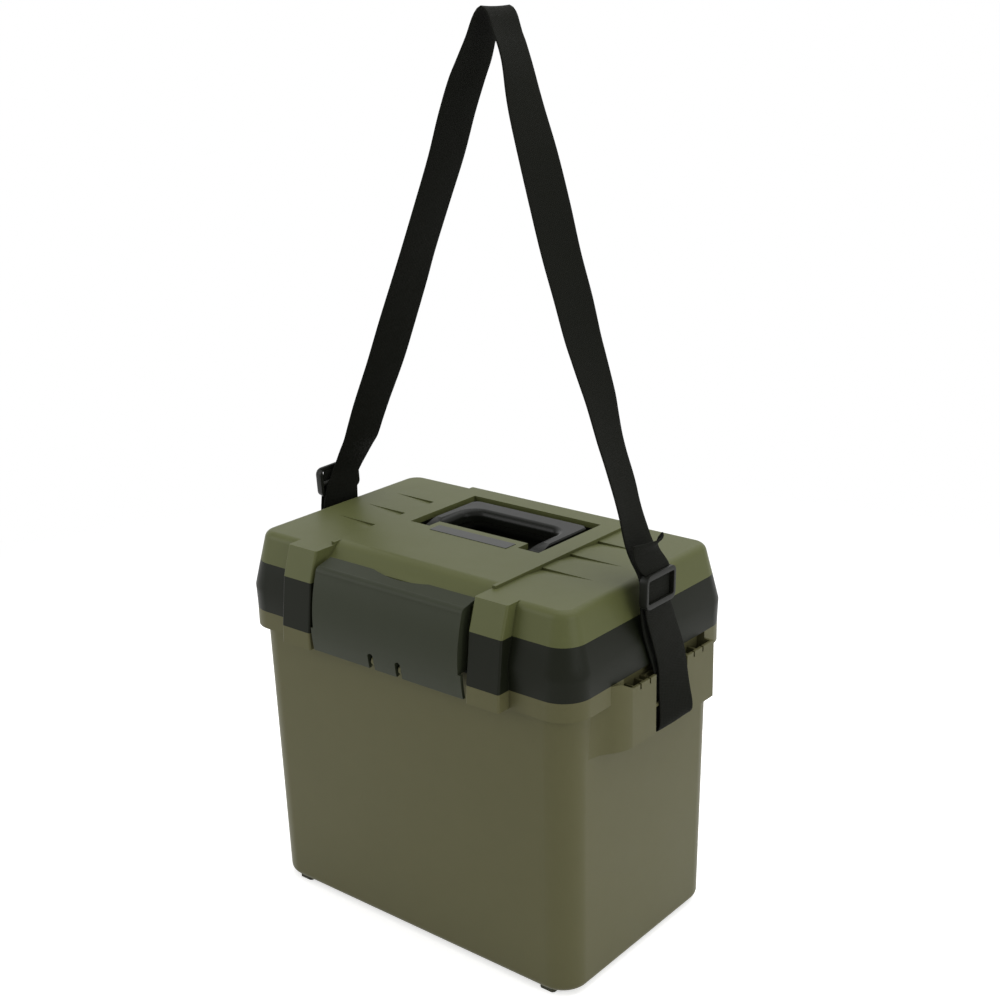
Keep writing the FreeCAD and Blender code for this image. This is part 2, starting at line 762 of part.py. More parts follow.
def lid_shell():
    above_scoop = box(-post_inner, post_inner, -bay_wall_reach, 0, 0, far)
    panel = lid_body(panel_rise).common(
        box(-panel_width / 2, panel_width / 2, -panel_reach, far, 0, far).fuse(above_scoop))
    flat_reach = lid_y - lid_draft - lid_top_round - bite
    segment = post(post_reach_tray_top, post_reach_lid_top, tray_top_z, lid_top_z, flat_reach)
    shell = fuse([lid_body(0), panel] + both_sides(segment))
    shell = shell.cut(lid_bay()).cut(lid_inside())
    hollow = post_hollow(post_reach_tray_top, post_reach_lid_top, tray_top_z - bite,
                         lid_top_z - post_wall, lid_y - post_root)
    for shape in both_sides(hollow):
        shell = shell.cut(shape)
    for i in range(step_count):
        for wedge in both_sides(step_wedge(step_rear_y - i * step_pitch)):
            shell = shell.cut(wedge)
    well = box(-well_width / 2, well_width / 2, well_front_y, well_rear_y, 0, far)
    tab = box(-tab_width / 2, tab_width / 2, well_front_y - bite, well_front_y + tab_reach,
              lid_top_z - lid_wall, panel_top_z)
    seat = box(-label_width / 2, label_width / 2, label_front_y, label_front_y + label_depth,
               panel_top_z - label_seat_depth, far)
    bay_half, bay_y = post_inner + 2 * lid_wall, bay_wall_reach - 2 * lid_wall
    rim_top = tray_top_z + lid_wall
    rim = lip(lid_form, rim_top, lip_depth + lid_wall, tray_wall + lip_clearance, lip_thickness,
              bay_half, bay_y)
    tie = lip(lid_form, rim_top, lid_wall, lid_wall / 2, lip_clearance + lid_wall, bay_half, bay_y)
    knuckles = hinge_side(False, lid_axis_y, tray_top_z, lid_knuckle_radius,
                          lid_y - 2 * bite, lid_gusset)
    shell = fuse([shell.cut(well), tab, tongue(), rim, tie] + knuckles).cut(seat)
    for bore in pin_bores(lid_axis_y, tray_top_z):
        shell = shell.cut(bore)
    return shell


def handle_axis_z():
    return panel_top_z - handle_axis_drop


def handle_well():
    """Black insert that hangs under the lid's opening and carries the handle."""
    top = lid_top_z - lid_wall
    x1 = well_width / 2 + well_wall
    y0, y1 = well_front_y - well_wall, well_rear_y + well_wall
    bottom = panel_top_z - well_depth
    shell = box(-x1, x1, y0, y1, bottom - well_wall, top)
    flange = box(-x1 - well_flange, x1 + well_flange, y0 - well_flange, y1 + well_flange,
                 top - well_wall, top)
    boss_x = well_width / 2 + handle_pin_reach + bite
    boss_radius = handle_pin_radius + handle_boss_wall
    boss = rod_x(boss_radius, -boss_x, boss_x, handle_pivot_y, handle_axis_z())
    boss = boss.common(box(-far, far, -far, far, 0, top))
    hole = rod_x(handle_pin_radius + pin_clearance, -well_width / 2 - handle_pin_reach,
                 well_width / 2 + handle_pin_reach, handle_pivot_y, handle_axis_z())
    inside = box(-well_width / 2, well_width / 2, well_front_y, well_rear_y, bottom, far)
    return fuse([shell, flange, boss]).cut(inside).cut(hole)


def label_plate():
    half = label_width / 2 - label_gap
    bottom = panel_top_z - label_seat_depth
    plate = box(-half, half, label_front_y + label_gap, label_front_y + label_depth - label_gap,
                bottom, bottom + label_thickness)
    return round_edges(plate, label_corner, is_upright)


# Carry handle
def carry_handle():
    """U of two arms and a deep grip, rounded where the fingers close round it."""
    top = panel_top_z - handle_below_top
    z0 = top - handle_thickness
    axis = handle_axis_z()
    r = handle_eye_radius
    x1 = well_width / 2 - handle_side_gap
    y1 = well_rear_y - handle_side_gap
    front = handle_pivot_y - r
    outer = box(-x1, x1, front, y1, axis - r, top)
    outer = round_edges(outer, handle_corner,
                        lambda e: is_upright(e) and e.Vertexes[0].Y > front + bite)
    outer = outer.makeChamfer(handle_edge, [e for e in outer.Edges if is_at(e, top)])
    inner_x, inner_y = x1 - handle_arm, y1 - handle_grip
    opening = box(-inner_x, inner_x, front - far, inner_y, 0, far)
    opening = round_edges(opening, handle_inner_corner,
                          lambda e: is_upright(e) and e.Vertexes[0].Y > front)
    body = outer.cut(opening)

    def is_grip_edge(edge):
        inside = all(abs(v.X) < inner_x + bite and v.Y < inner_y + bite for v in edge.Vertexes)
        return is_at(edge, top) and inside and edge.Length > handle_arm
    body = round_edges(body, handle_grip_round, is_grip_edge)
    bend = handle_pivot_y + handle_slope_run
    side = side_profile([(handle_pivot_y, axis - r), (bend, z0), (y1 + bite, z0),
                         (y1 + bite, top + bite), (bend, top + bite), (bend, top),
                         (handle_pivot_y, axis + r)], -far, far)
    side = side.fuse(rod_x(r, -far, far, handle_pivot_y, axis))
    body = body.common(side)
    reach = well_width / 2 + handle_pin_reach - handle_pin_end_gap
    stubs = rod_x(handle_pin_radius, x1 - 2 * bite, reach, handle_pivot_y, axis)
    return fuse([body] + both_sides(stubs))


def is_upright(edge):
    a, b = edge.Vertexes[0], edge.Vertexes[-1]
    return abs(a.Z - b.Z) > 0.5 and abs(a.X - b.X) < 0.01 and abs(a.Y - b.Y) < 0.01


# Front latch
def latch_section(inset):
    """Latch outline in the YZ plane: bowed face, rolled top and the return that rises behind it."""
    f0, f1 = latch_front_y + inset, latch_top_front_y + inset
    top = latch_roll_z - inset
    r = latch_roll_radius - inset
    bend = top - r
    bow = (f0 + f1) / 2 - latch_bow
    s = r * (1 - math.sqrt(0.5))
    low = latch_bottom
    face = Part.Arc(V(0, f0, low), V(0, bow, (low + bend) / 2), V(0, f1, bend))
    roll = Part.Arc(V(0, f1, bend), V(0, f1 + s, top - s), V(0, f1 + r, top))
    back = Part.LineSegment(V(0, f1 + r, top), V(0, latch_return_y, top + latch_back_rise))
    return [face, roll, back]


def latch_skin(half):
    """The latch's wall, drawn out along X between two ends."""
    outer = latch_section(0)
    inner = latch_section(latch_wall)
    first = [e.toShape() for e in outer]
    first.append(Part.LineSegment(outer[-1].EndPoint, inner[-1].EndPoint).toShape())
    first += [e.toShape() for e in inner]
    first.append(Part.LineSegment(inner[0].StartPoint, outer[0].StartPoint).toShape())
    face = Part.Face(Part.Wire(Part.__sortEdges__(first)))
    face.translate(V(-half, 0, 0))
    return face.extrude(V(2 * half, 0, 0))


def latch_flange():
    """Return wall that closes one end of the roll and runs down the side."""
    outer = latch_section(0)
    end = outer[-1].EndPoint
    edges = [e.toShape() for e in outer]
    edges += Part.makePolygon([end, V(0, end.y, latch_bottom), outer[0].StartPoint]).Edges
    face = Part.Face(Part.Wire(Part.__sortEdges__(edges)))
    x0 = latch_half_width - latch_flange_thickness
    face.translate(V(x0, 0, 0))
    wall = face.extrude(V(latch_flange_thickness, 0, 0))
    back = latch_flange_back_y
    kept = side_profile([(-far, latch_foot_top), (back - latch_flange_step, latch_foot_top),
                         (back, latch_foot_top + 3 * latch_flange_step), (back, far), (-far, far)],
                        0, far)
    return wall.common(kept)


def latch():
    upper = latch_skin(latch_half_width)
    lower = latch_skin(latch_foot_half_width)
    foot = lower.common(box(-far, far, -far, far, 0, latch_foot_top))
    body = fuse([upper, foot] + both_sides(latch_flange()))
    bend = latch_roll_z - latch_roll_radius
    body = body.cut(finger_arc(0).common(box(-far, far, -far, far, bend, far)))
    for sx in (-1, 1):
        x = sx * latch_hook_x
        half = latch_slot_width / 2
        cheeks = box(x - half - latch_cheek, x + half + latch_cheek, latch_front_y + bite / 2,
                     latch_axis_y + latch_bar_radius + latch_cheek_wall, latch_bottom + bite,
                     latch_axis_z + latch_bar_radius + latch_cheek_top)
        slot = box(x - half, x + half, -far, far, latch_bottom - bite, latch_slot_top - half)
        crown = Part.makeCylinder(half, far, V(x, -far, latch_slot_top - half), V(0, 1, 0))
        bar = rod_x(latch_bar_radius, x - half - bite, x + half + bite, latch_axis_y, latch_axis_z)
        body = body.fuse(cheeks).cut(slot).cut(crown)
        body = body.fuse(bar)
    return body.removeSplitter()


# Webbing and sliders
def strap_bar_x():
    return pocket_reach() - strap_bar_inset


def strap_y(z, lean):
    """Middle of the webbing across the box at a height beside the pocket and slider."""
    return window_middle_y - lean * max(0.0, z - strap_lean_start_z)


def ribbon_section(x, y, z, dx, dz, twist, thickness):
    """Cross-section of the webbing: square to its run in the XZ plane, then twisted."""
    length = math.hypot(dx, dz)
    across = V(math.sin(math.radians(twist)), math.cos(math.radians(twist)), 0)
    along = V(dx / length, 0, dz / length)
    normal = along.cross(across).normalize()
    half, t = webbing_width / 2, thickness / 2
    c = V(x, y, z)
    corners = [c + across * half + normal * t, c - across * half + normal * t,
               c - across * half - normal * t, c + across * half - normal * t]
    return Part.makePolygon(corners + [corners[0]])


def ribbon(route):
    """Flat webbing along a list of x, y, z and twist."""
    sections = []
    for i, (x, y, z, twist) in enumerate(route):
        before = route[max(0, i - 1)]
        after = route[min(len(route) - 1, i + 1)]
        dx, dz = after[0] - before[0], after[2] - before[2]
        sections.append(ribbon_section(x, y, z, dx, dz, twist, webbing_thickness))
    return Part.makeLoft(sections, True, True)


def ply_x():
    """Middle of the inner and the outer ply beside the bar."""
    off = strap_bar_radius + webbing_gap + webbing_thickness / 2
    return strap_bar_x() - off, strap_bar_x() + off


def splice_z(slider_z):
    """Height above a slider where the looped end meets the upper webbing."""
    return slider_z + slider_height / 2 + splice_rise


def strap_end(slider_z, tail, lean):
    """Right end of the webbing: looped under the bar, up through the slider, and its free tail."""
    inner_x, outer_x = ply_x()
    middle_x, foot_y = strap_bar_x(), window_middle_y
    top = splice_z(slider_z)
    radius = outer_x - middle_x
    route = [(inner_x, strap_y(top, lean), top, 0)]
    route.append((inner_x, foot_y, strap_lean_start_z, 0))
    route.append((inner_x, foot_y, strap_fold_z, 0))
    for i in range(1, bend_steps):
        a = math.pi + math.pi * i / bend_steps
        route.append((middle_x + radius * math.cos(a), foot_y,
                      strap_fold_z + radius * math.sin(a), 0))
    route.append((outer_x, foot_y, strap_fold_z, 0))
    route.append((outer_x, foot_y, strap_lean_start_z, 0))
    route.append((outer_x, strap_y(top, lean), top, 0))
    for i in range(1, bend_steps // 2 + 1):
        t = 2 * i / bend_steps
        z = top + tail * t
        route.append((outer_x + tail_curl * tail * t * t, strap_y(z, lean), z, 0))
    return ribbon(route)


def slider(slider_z, lean):
    """Flat adjuster on the right: two rails, front bars and the bar between the plies."""
    inner_x, outer_x = ply_x()
    t = webbing_thickness / 2
    front_x = outer_x + t + webbing_gap
    half = webbing_width / 2 + slider_side_gap
    rail_y = half + slider_rail
    z0, z1 = -slider_height / 2, slider_height / 2
    bar0 = inner_x + t + webbing_gap
    bar1 = outer_x - t - webbing_gap
    frame = box(bar0, front_x + slider_front, -rail_y, rail_y, z0, z1)
    frame = round_edges(frame, slider_corner,
                        lambda e: abs(e.Vertexes[0].X - e.Vertexes[1].X) > slider_front)
    frame = frame.cut(box(0, front_x, -half, half, z0 - bite, z1 + bite))
    window = box(0, far, -half, half, z0 + slider_bar, z1 - slider_bar)
    centre = box(bar0, bar1, -half - bite, half + bite, -slider_bar / 2, slider_bar / 2)
    body = fuse([frame.cut(window), centre])
    body.rotate(V(0, 0, 0), V(1, 0, 0), math.degrees(math.atan(lean)))
    body.translate(V(0, strap_y(slider_z, lean), slider_z))
    return body


def strap_upper():
    """Webbing from slider to slider, over the top where the hand lifts it."""
    inner_x = ply_x()[0]
    right_top, left_top = splice_z(right_slider_z), splice_z(left_slider_z)
    top_z = max(z for _, z, _ in strap_route)

    right_y, left_y = strap_y(right_top, right_lean), strap_y(left_top, left_lean)
    route = [(inner_x, right_y, right_top, 0),
             (inner_x, right_y, right_top + 2 * splice_rise, 0)]
    peak = [z for _, z, _ in strap_route].index(top_z)
    for i, (x, z, twist) in enumerate(strap_route):
        low_z, low_y = (right_top, right_y) if i <= peak else (left_top, left_y)
        y = low_y + (strap_apex_y - low_y) * (z - low_z) / (top_z - low_z)
        route.append((x, y, z, twist))
    route.append((-inner_x, left_y, left_top + 2 * splice_rise, 0))
    route.append((-inner_x, left_y, left_top, 0))
    return ribbon(route)


def hinge_pins(y, z):
    """Steel pins of the right and the left hinge."""
    pin = rod_x(hinge_pin_radius, hinge_x - hinge_width / 2, hinge_x + hinge_width / 2, y, z)
    return both_sides(pin)


def write(name, shape):
    shapes = shape if isinstance(shape, list) else [shape]
    for s in shapes:
        if not s.isValid() or len(s.Solids) != 1:
            print("check", name, "valid", s.isValid(), "solids", len(s.Solids))
    whole = shapes[0] if len(shapes) == 1 else Part.makeCompound(shapes)
    if whole.ShapeType == "Compound" and len(whole.Solids) == 1:
        whole = whole.Solids[0]
    whole.exportStep("parts/" + name + ".step")
    b = whole.BoundBox
    print(name, round(whole.Volume), [round(v, 1) for v in
          (b.XMin, b.XMax, b.YMin, b.YMax, b.ZMin, b.ZMax)])


def main():
    os.makedirs("parts", exist_ok=True)
    tub_solid = tub()
    write("tub", tub_solid)
    write("feet", feet())
    pocket = strap_pocket(tub_solid)
    write("strap_pocket_right", pocket)
    write("strap_pocket_left", mirrored(pocket))
    right, left = hinge_pins(tray_axis_y, tub_top_z)
    write("tray_hinge_pin_right", right)
    write("tray_hinge_pin_left", left)
    write("tray_section", tray_section())
    write("tray_dividers", tray_dividers())
    right, left = hinge_pins(lid_axis_y, tray_top_z)
    write("lid_hinge_pin_right", right)
    write("lid_hinge_pin_left", left)
    write("lid_shell", lid_shell())
    write("handle_well", handle_well())
    write("label_plate", label_plate())
    write("carry_handle", carry_handle())
    write("latch", latch())
    write("strap_end_right", strap_end(right_slider_z, right_tail, right_lean))
    write("strap_end_left", mirrored(strap_end(left_slider_z, left_tail, left_lean)))
    write("strap_slider_right", slider(right_slider_z, right_lean))
    write("strap_slider_left", mirrored(slider(left_slider_z, left_lean)))
    write("strap_upper", strap_upper())


main()
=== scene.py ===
import bmesh
import bpy
import math
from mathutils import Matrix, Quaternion, Vector


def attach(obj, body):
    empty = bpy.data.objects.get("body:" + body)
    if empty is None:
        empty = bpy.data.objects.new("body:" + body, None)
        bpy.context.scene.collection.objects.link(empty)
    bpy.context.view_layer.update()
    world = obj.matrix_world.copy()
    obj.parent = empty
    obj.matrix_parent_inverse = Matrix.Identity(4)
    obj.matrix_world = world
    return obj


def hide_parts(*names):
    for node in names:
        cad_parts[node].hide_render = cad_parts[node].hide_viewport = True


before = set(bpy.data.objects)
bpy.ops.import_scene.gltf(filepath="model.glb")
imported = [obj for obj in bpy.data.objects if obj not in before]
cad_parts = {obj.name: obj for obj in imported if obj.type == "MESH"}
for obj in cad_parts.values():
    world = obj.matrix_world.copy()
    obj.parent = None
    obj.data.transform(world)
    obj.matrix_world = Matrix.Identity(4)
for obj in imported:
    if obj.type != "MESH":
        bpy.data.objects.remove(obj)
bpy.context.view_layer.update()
bpy.ops.object.select_all(action="DESELECT")
print("frame loaded:", len(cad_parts), "parts")

# Camera at waist height, in front of the box and to its right, with a slight roll
cameraSetup = {
    "eye": (0.8555, -1.0089, 0.8217),
    "azimuth": 39.51,
    "elevation": 18.02,
    "roll": -1.36,
    "lens": 55.73,
    "sensor": 36.0,
    "farthest": 50,
}


def addCamera(setup):
    around = math.radians(setup["azimuth"])
    above = math.radians(setup["elevation"])
    level = math.cos(above)
    back = Vector((math.sin(around) * level, -math.cos(around) * level, math.sin(above)))
    bpy.ops.object.camera_add(location=setup["eye"])
    camera = bpy.context.object
    camera.name = "photoCamera"
    camera.rotation_mode = "QUATERNION"
    turn = Quaternion((0, 0, 1), math.radians(setup["roll"]))
    camera.rotation_quaternion = back.to_track_quat("Z", "Y") @ turn
    camera.data.sensor_width = setup["sensor"]
    camera.data.lens = setup["lens"]
    camera.data.clip_end = setup["farthest"]
    bpy.context.scene.camera = camera


addCamera(cameraSetup)
print("camera ready")


# Small helpers for node trees
def addNode(tree, kind, x, y, **sockets):
    node = tree.nodes.new(kind)
    node.location = (x, y)
    for name, value in sockets.items():
        node.inputs[name.replace("_", " ")].default_value = value
    return node


def newGroup(name, inputs, outputs):
    group = bpy.data.node_groups.new(name, "ShaderNodeTree")
    for label, kind, value in inputs:
        socket = group.interface.new_socket(name=label, in_out="INPUT", socket_type=kind)
        socket.default_value = value
    for label, kind in outputs:
        group.interface.new_socket(name=label, in_out="OUTPUT", socket_type=kind)
    start = group.nodes.new("NodeGroupInput")
    start.location = (-900, 0)
    end = group.nodes.new("NodeGroupOutput")
    end.location = (700, 0)
    return group, start, end


def mathNode(tree, operation, x, y, first=None, second=None):
    node = tree.nodes.new("ShaderNodeMath")
    node.operation = operation
    node.location = (x, y)
    for index, value in enumerate((first, second)):
        if value is None:
            continue
        if hasattr(value, "is_output"):
            tree.links.new(value, node.inputs[index])
        else:
            node.inputs[index].default_value = value
    return node


def seenDirectly(tree, x, y):
    # 1 where the lens looks straight at a surface or sees it in gloss or glass
    path = tree.nodes.new("ShaderNodeLightPath")
    path.location = (x - 200, y)
    rays = path.outputs
    lensOrGloss = mathNode(tree, "MAXIMUM", x, y, rays["Is Camera Ray"], rays["Is Glossy Ray"])
    return mathNode(tree, "MAXIMUM", x + 150, y, lensOrGloss.outputs[0], rays["Is Transmission Ray"])


# Scales are patches to a metre. The painted seam shade, made from ambient occlusion, is darkest and clear at
# these shares of open space around a seam
mouldTextureAndSeamShade = {
    "driftScale": 9.0,
    "cloudScale": 55.0,
    "rubScale": 26.0,
    "paintedShadeReach": 0.004,
    "paintedShadeSamples": 6,
    "darkestAt": 0.2,
    "clearAt": 0.75,
}


def makeMouldedFinishAndSeamShade(look):
    # spark-eroded mould grain, slow colour drift, painted shade in the seams and light handling marks in the
    # roughness
    group, start, end = newGroup("mouldedFinishAndSeamShade", [
        ("Base", "NodeSocketColor", (0.1, 0.1, 0.1, 1)),
        ("Drift", "NodeSocketFloat", 0.08),
        ("Grain Size", "NodeSocketFloat", 1400.0),
        ("Polish", "NodeSocketFloat", 0.4),
        ("Polish Drift", "NodeSocketFloat", 0.08),
        ("Painted Seam Shade", "NodeSocketFloat", 0.5),
    ], [("Color", "NodeSocketColor"), ("Roughness", "NodeSocketFloat"), ("Height", "NodeSocketFloat")])
    links = group.links
    place = addNode(group, "ShaderNodeTexCoord", -900, 300)
    slow = addNode(group, "ShaderNodeTexNoise", -600, 300, Scale=look["driftScale"], Detail=3.0)
    cloudy = addNode(
        group, "ShaderNodeTexNoise", -600, 80, Scale=look["cloudScale"], Detail=5.0, Roughness=0.6)
    grain = addNode(group, "ShaderNodeTexNoise", -600, -160, Detail=2.0)
    rub = addNode(
        group, "ShaderNodeTexNoise", -600, -400, Scale=look["rubScale"], Detail=6.0, Roughness=0.72)
    for node in (slow, cloudy, grain, rub):
        links.new(place.outputs["Object"], node.inputs["Vector"])
    links.new(start.outputs["Grain Size"], grain.inputs["Scale"])
    mixed = mathNode(group, "ADD", -380, 220, slow.outputs["Fac"], cloudy.outputs["Fac"])
    centred = mathNode(group, "SUBTRACT", -220, 220, mixed.outputs[0], 1.0)
    swing = mathNode(group, "MULTIPLY", -60, 220, centred.outputs[0], start.outputs["Drift"])
    level = mathNode(group, "ADD", 100, 220, swing.outputs[0], 1.0)
    tint = group.nodes.new("ShaderNodeVectorMath")
    tint.operation = "SCALE"
    tint.location = (280, 220)
    links.new(start.outputs["Base"], tint.inputs[0])
    # painted shade: ambient occlusion darkens the colour in seams and crevices where shade falls
    paintedShadeOcclusion = addNode(group, "ShaderNodeAmbientOcclusion", -380, 520, Distance=look["paintedShadeReach"])
    paintedShadeOcclusion.samples = look["paintedShadeSamples"]
    paintedShadeRamp = addNode(
        group, "ShaderNodeMapRange", -200, 520,
        From_Min=look["darkestAt"], From_Max=look["clearAt"], To_Min=1.0, To_Max=0.0)
    links.new(paintedShadeOcclusion.outputs["AO"], paintedShadeRamp.inputs["Value"])
    depth = mathNode(group, "MULTIPLY", -20, 520, paintedShadeRamp.outputs["Result"], start.outputs["Painted Seam Shade"])
    uncovered = mathNode(group, "SUBTRACT", 140, 520, 1.0, depth.outputs[0])
    shaded = mathNode(group, "MULTIPLY", 300, 420, uncovered.outputs[0], level.outputs[0])
    links.new(shaded.outputs[0], tint.inputs["Scale"])
    links.new(tint.outputs["Vector"], end.inputs["Color"])
    rubbed = mathNode(group, "SUBTRACT", -380, -400, rub.outputs["Fac"], 0.5)
    change = mathNode(group, "MULTIPLY", -200, -400, rubbed.outputs[0], start.outputs["Polish Drift"])
    doubled = mathNode(group, "MULTIPLY", -40, -400, change.outputs[0], 2.0)
    sheen = mathNode(group, "ADD", 120, -400, doubled.outputs[0], start.outputs["Polish"])
    links.new(sheen.outputs[0], end.inputs["Roughness"])
    links.new(grain.outputs["Fac"], end.inputs["Height"])
    return group


mouldedFinishAndSeamShade = makeMouldedFinishAndSeamShade(mouldTextureAndSeamShade)

# Rows are yarns to a metre and columns yarns to the width. The shades multiply the base colour; the yarn
# shade is painted shade that darkens the colour between the yarns and lightens it on their crowns
webbingLook = {
    "base": (0.0056, 0.0060, 0.0042),
    "rows": 700.0,
    "columns": 22.0,
    "columnDip": -0.6,
    "plainShade": 0.75,
    "paintedYarnShade": 0.13,
    "fuzzShade": 0.5,
    "fuzzScale": 60.0,
    "roughness": 0.72,
    "roughnessDrift": 0.2,
    "bump": 0.35,
    "gloss": 0.08,
}


def makeWebbingWeave(look):
    # narrow woven tape: ribs across the width, with warp yarns along it, and painted shade that follows the
    # yarns' height
    group, start, end = newGroup("webbingWeave", [
        ("Base", "NodeSocketColor", (*look["base"], 1)),
        ("Rows", "NodeSocketFloat", look["rows"]),
        ("Columns", "NodeSocketFloat", look["columns"]),
    ], [("Color", "NodeSocketColor"), ("Height", "NodeSocketFloat"), ("Roughness", "NodeSocketFloat")])
    links = group.links
    place = addNode(group, "ShaderNodeTexCoord", -1100, 200)
    split = addNode(group, "ShaderNodeSeparateXYZ", -900, 200)
    links.new(place.outputs["UV"], split.inputs[0])
    across = mathNode(group, "MULTIPLY", -700, 300, split.outputs["X"], start.outputs["Columns"])
    along = mathNode(group, "MULTIPLY", -700, 100, split.outputs["Y"], start.outputs["Rows"])
    column = mathNode(group, "FLOOR", -540, 380, across.outputs[0])
    odd = mathNode(group, "MODULO", -400, 380, column.outputs[0], 2.0)
    half = mathNode(group, "MULTIPLY", -260, 380, odd.outputs[0], 0.5)
    shifted = mathNode(group, "ADD", -120, 200, along.outputs[0], half.outputs[0])
    rowTurn = mathNode(group, "MULTIPLY", 20, 200, shifted.outputs[0], 2 * math.pi)
    rowWave = mathNode(group, "SINE", 160, 200, rowTurn.outputs[0])
    columnTurn = mathNode(group, "MULTIPLY", -400, 560, across.outputs[0], 2 * math.pi)
    columnWave = mathNode(group, "COSINE", -260, 560, columnTurn.outputs[0])
    columnDip = mathNode(group, "MULTIPLY", -100, 560, columnWave.outputs[0], look["columnDip"])
    yarn = mathNode(group, "ADD", 300, 300, rowWave.outputs[0], columnDip.outputs[0])
    links.new(yarn.outputs[0], end.inputs["Height"])
    fuzz = addNode(
        group, "ShaderNodeTexNoise", -600, -250, Scale=look["fuzzScale"], Detail=6.0, Roughness=0.7)
    links.new(place.outputs["Object"], fuzz.inputs["Vector"])
    # painted shade: the yarn height lightens the colour on raised yarns and darkens it in the dips between
    # them
    paintedYarnLift = mathNode(group, "MULTIPLY", 300, 60, yarn.outputs[0], look["paintedYarnShade"])
    cloud = mathNode(group, "MULTIPLY", -300, -250, fuzz.outputs["Fac"], look["fuzzShade"])
    shade = mathNode(group, "ADD", 440, 60, paintedYarnLift.outputs[0], cloud.outputs[0])
    level = mathNode(group, "ADD", 560, 60, shade.outputs[0], look["plainShade"])
    tint = group.nodes.new("ShaderNodeVectorMath")
    tint.operation = "SCALE"
    tint.location = (600, -120)
    links.new(start.outputs["Base"], tint.inputs[0])
    links.new(level.outputs[0], tint.inputs["Scale"])
    links.new(tint.outputs["Vector"], end.inputs["Color"])
    rough = mathNode(group, "MULTIPLY_ADD", -100, -320, fuzz.outputs["Fac"], look["roughnessDrift"])
    rough.inputs[2].default_value = look["roughness"]
    links.new(rough.outputs[0], end.inputs["Roughness"])
    return group


webbingWeave = makeWebbingWeave(webbingLook)

# Base colour, how far it drifts, mould grain, roughness and its rubbed patches, relief and specular level
plastics = {
    "olivePlastic": {
        "base": (0.079, 0.086, 0.031), "drift": 0.07, "grain": 1500,
        "polish": 0.42, "rub": 0.05, "bump": 0.05, "gloss": 0.16,
    },
    "tubPlastic": {
        "base": (0.088, 0.084, 0.038), "drift": 0.07, "grain": 1500,
        "polish": 0.44, "rub": 0.05, "bump": 0.05, "gloss": 0.14,
    },
    "blackPlastic": {
        "base": (0.0070, 0.0083, 0.0042), "drift": 0.10, "grain": 1500,
        "polish": 0.40, "rub": 0.05, "bump": 0.05, "gloss": 0.11,
    },
    "latchPlastic": {
        "base": (0.025, 0.029, 0.0165), "drift": 0.08, "grain": 1300,
        "polish": 0.46, "rub": 0.05, "bump": 0.06, "gloss": 0.14,
    },
    "handlePlastic": {
        "base": (0.0060, 0.0066, 0.0048), "drift": 0.10, "grain": 1800,
        "polish": 0.30, "rub": 0.08, "bump": 0.03, "gloss": 0.12,
    },
    "wellPlastic": {
        "base": (0.0042, 0.0046, 0.0028), "drift": 0.10, "grain": 1500,
        "polish": 0.42, "rub": 0.05, "bump": 0.05, "gloss": 0.10,
    },
    "sliderPlastic": {
        "base": (0.0075, 0.0080, 0.0060), "drift": 0.08, "grain": 1500,
        "polish": 0.40, "rub": 0.06, "bump": 0.04, "gloss": 0.14,
    },
    "labelPlastic": {
        "base": (0.030, 0.031, 0.028), "drift": 0.05, "grain": 2500,
        "polish": 0.34, "rub": 0.05, "bump": 0.01, "gloss": 0.20,
    },
    "footRubber": {
        "base": (0.045, 0.046, 0.030), "drift": 0.08, "grain": 900,
        "polish": 0.62, "rub": 0.06, "bump": 0.10, "gloss": 0.15,
    },
}

reliefDepth = 0.0004  # metres, of mould grain and yarns alike


def makePlastic(name, look):
    material = bpy.data.materials.new(name)
    material.use_nodes = True
    tree = material.node_tree
    shader = tree.nodes["Principled BSDF"]
    finish = tree.nodes.new("ShaderNodeGroup")
    finish.node_tree = mouldedFinishAndSeamShade
    finish.location = (-500, 100)
    finish.inputs["Base"].default_value = (*look["base"], 1)
    finish.inputs["Drift"].default_value = look["drift"]
    finish.inputs["Grain Size"].default_value = look["grain"]
    finish.inputs["Polish"].default_value = look["polish"]
    finish.inputs["Polish Drift"].default_value = look["rub"]
    shader.inputs["Specular IOR Level"].default_value = look["gloss"]
    bump = addNode(tree, "ShaderNodeBump", -250, -150, Strength=look["bump"], Distance=reliefDepth)
    tree.links.new(finish.outputs["Color"], shader.inputs["Base Color"])
    tree.links.new(finish.outputs["Roughness"], shader.inputs["Roughness"])
    tree.links.new(finish.outputs["Height"], bump.inputs["Height"])
    tree.links.new(bump.outputs["Normal"], shader.inputs["Normal"])
    return material


materials = {name: makePlastic(name, look) for name, look in plastics.items()}

pinSteelLook = {
    "base": (0.55, 0.55, 0.56),
    "drawnGrain": (40, 900, 900),
    "smoothest": 0.25,
    "roughest": 0.45,
}


def makeSteel(look):
    material = bpy.data.materials.new("pinSteel")
    material.use_nodes = True
    tree = material.node_tree
    shader = tree.nodes["Principled BSDF"]
    shader.inputs["Base Color"].default_value = (*look["base"], 1)
    shader.inputs["Metallic"].default_value = 1.0
    place = addNode(tree, "ShaderNodeTexCoord", -900, 0)
    stretch = addNode(tree, "ShaderNodeMapping", -700, 0, Scale=look["drawnGrain"])
    drawn = addNode(tree, "ShaderNodeTexNoise", -500, 0, Scale=1.0, Detail=3.0)
    spread = addNode(tree, "ShaderNodeMapRange", -300, 0, To_Min=look["smoothest"], To_Max=look["roughest"])
    tree.links.new(place.outputs["Object"], stretch.inputs["Vector"])
    tree.links.new(stretch.outputs["Vector"], drawn.inputs["Vector"])
    tree.links.new(drawn.outputs["Fac"], spread.inputs["Value"])
    tree.links.new(spread.outputs["Result"], shader.inputs["Roughness"])
    return material


materials["pinSteel"] = makeSteel(pinSteelLook)


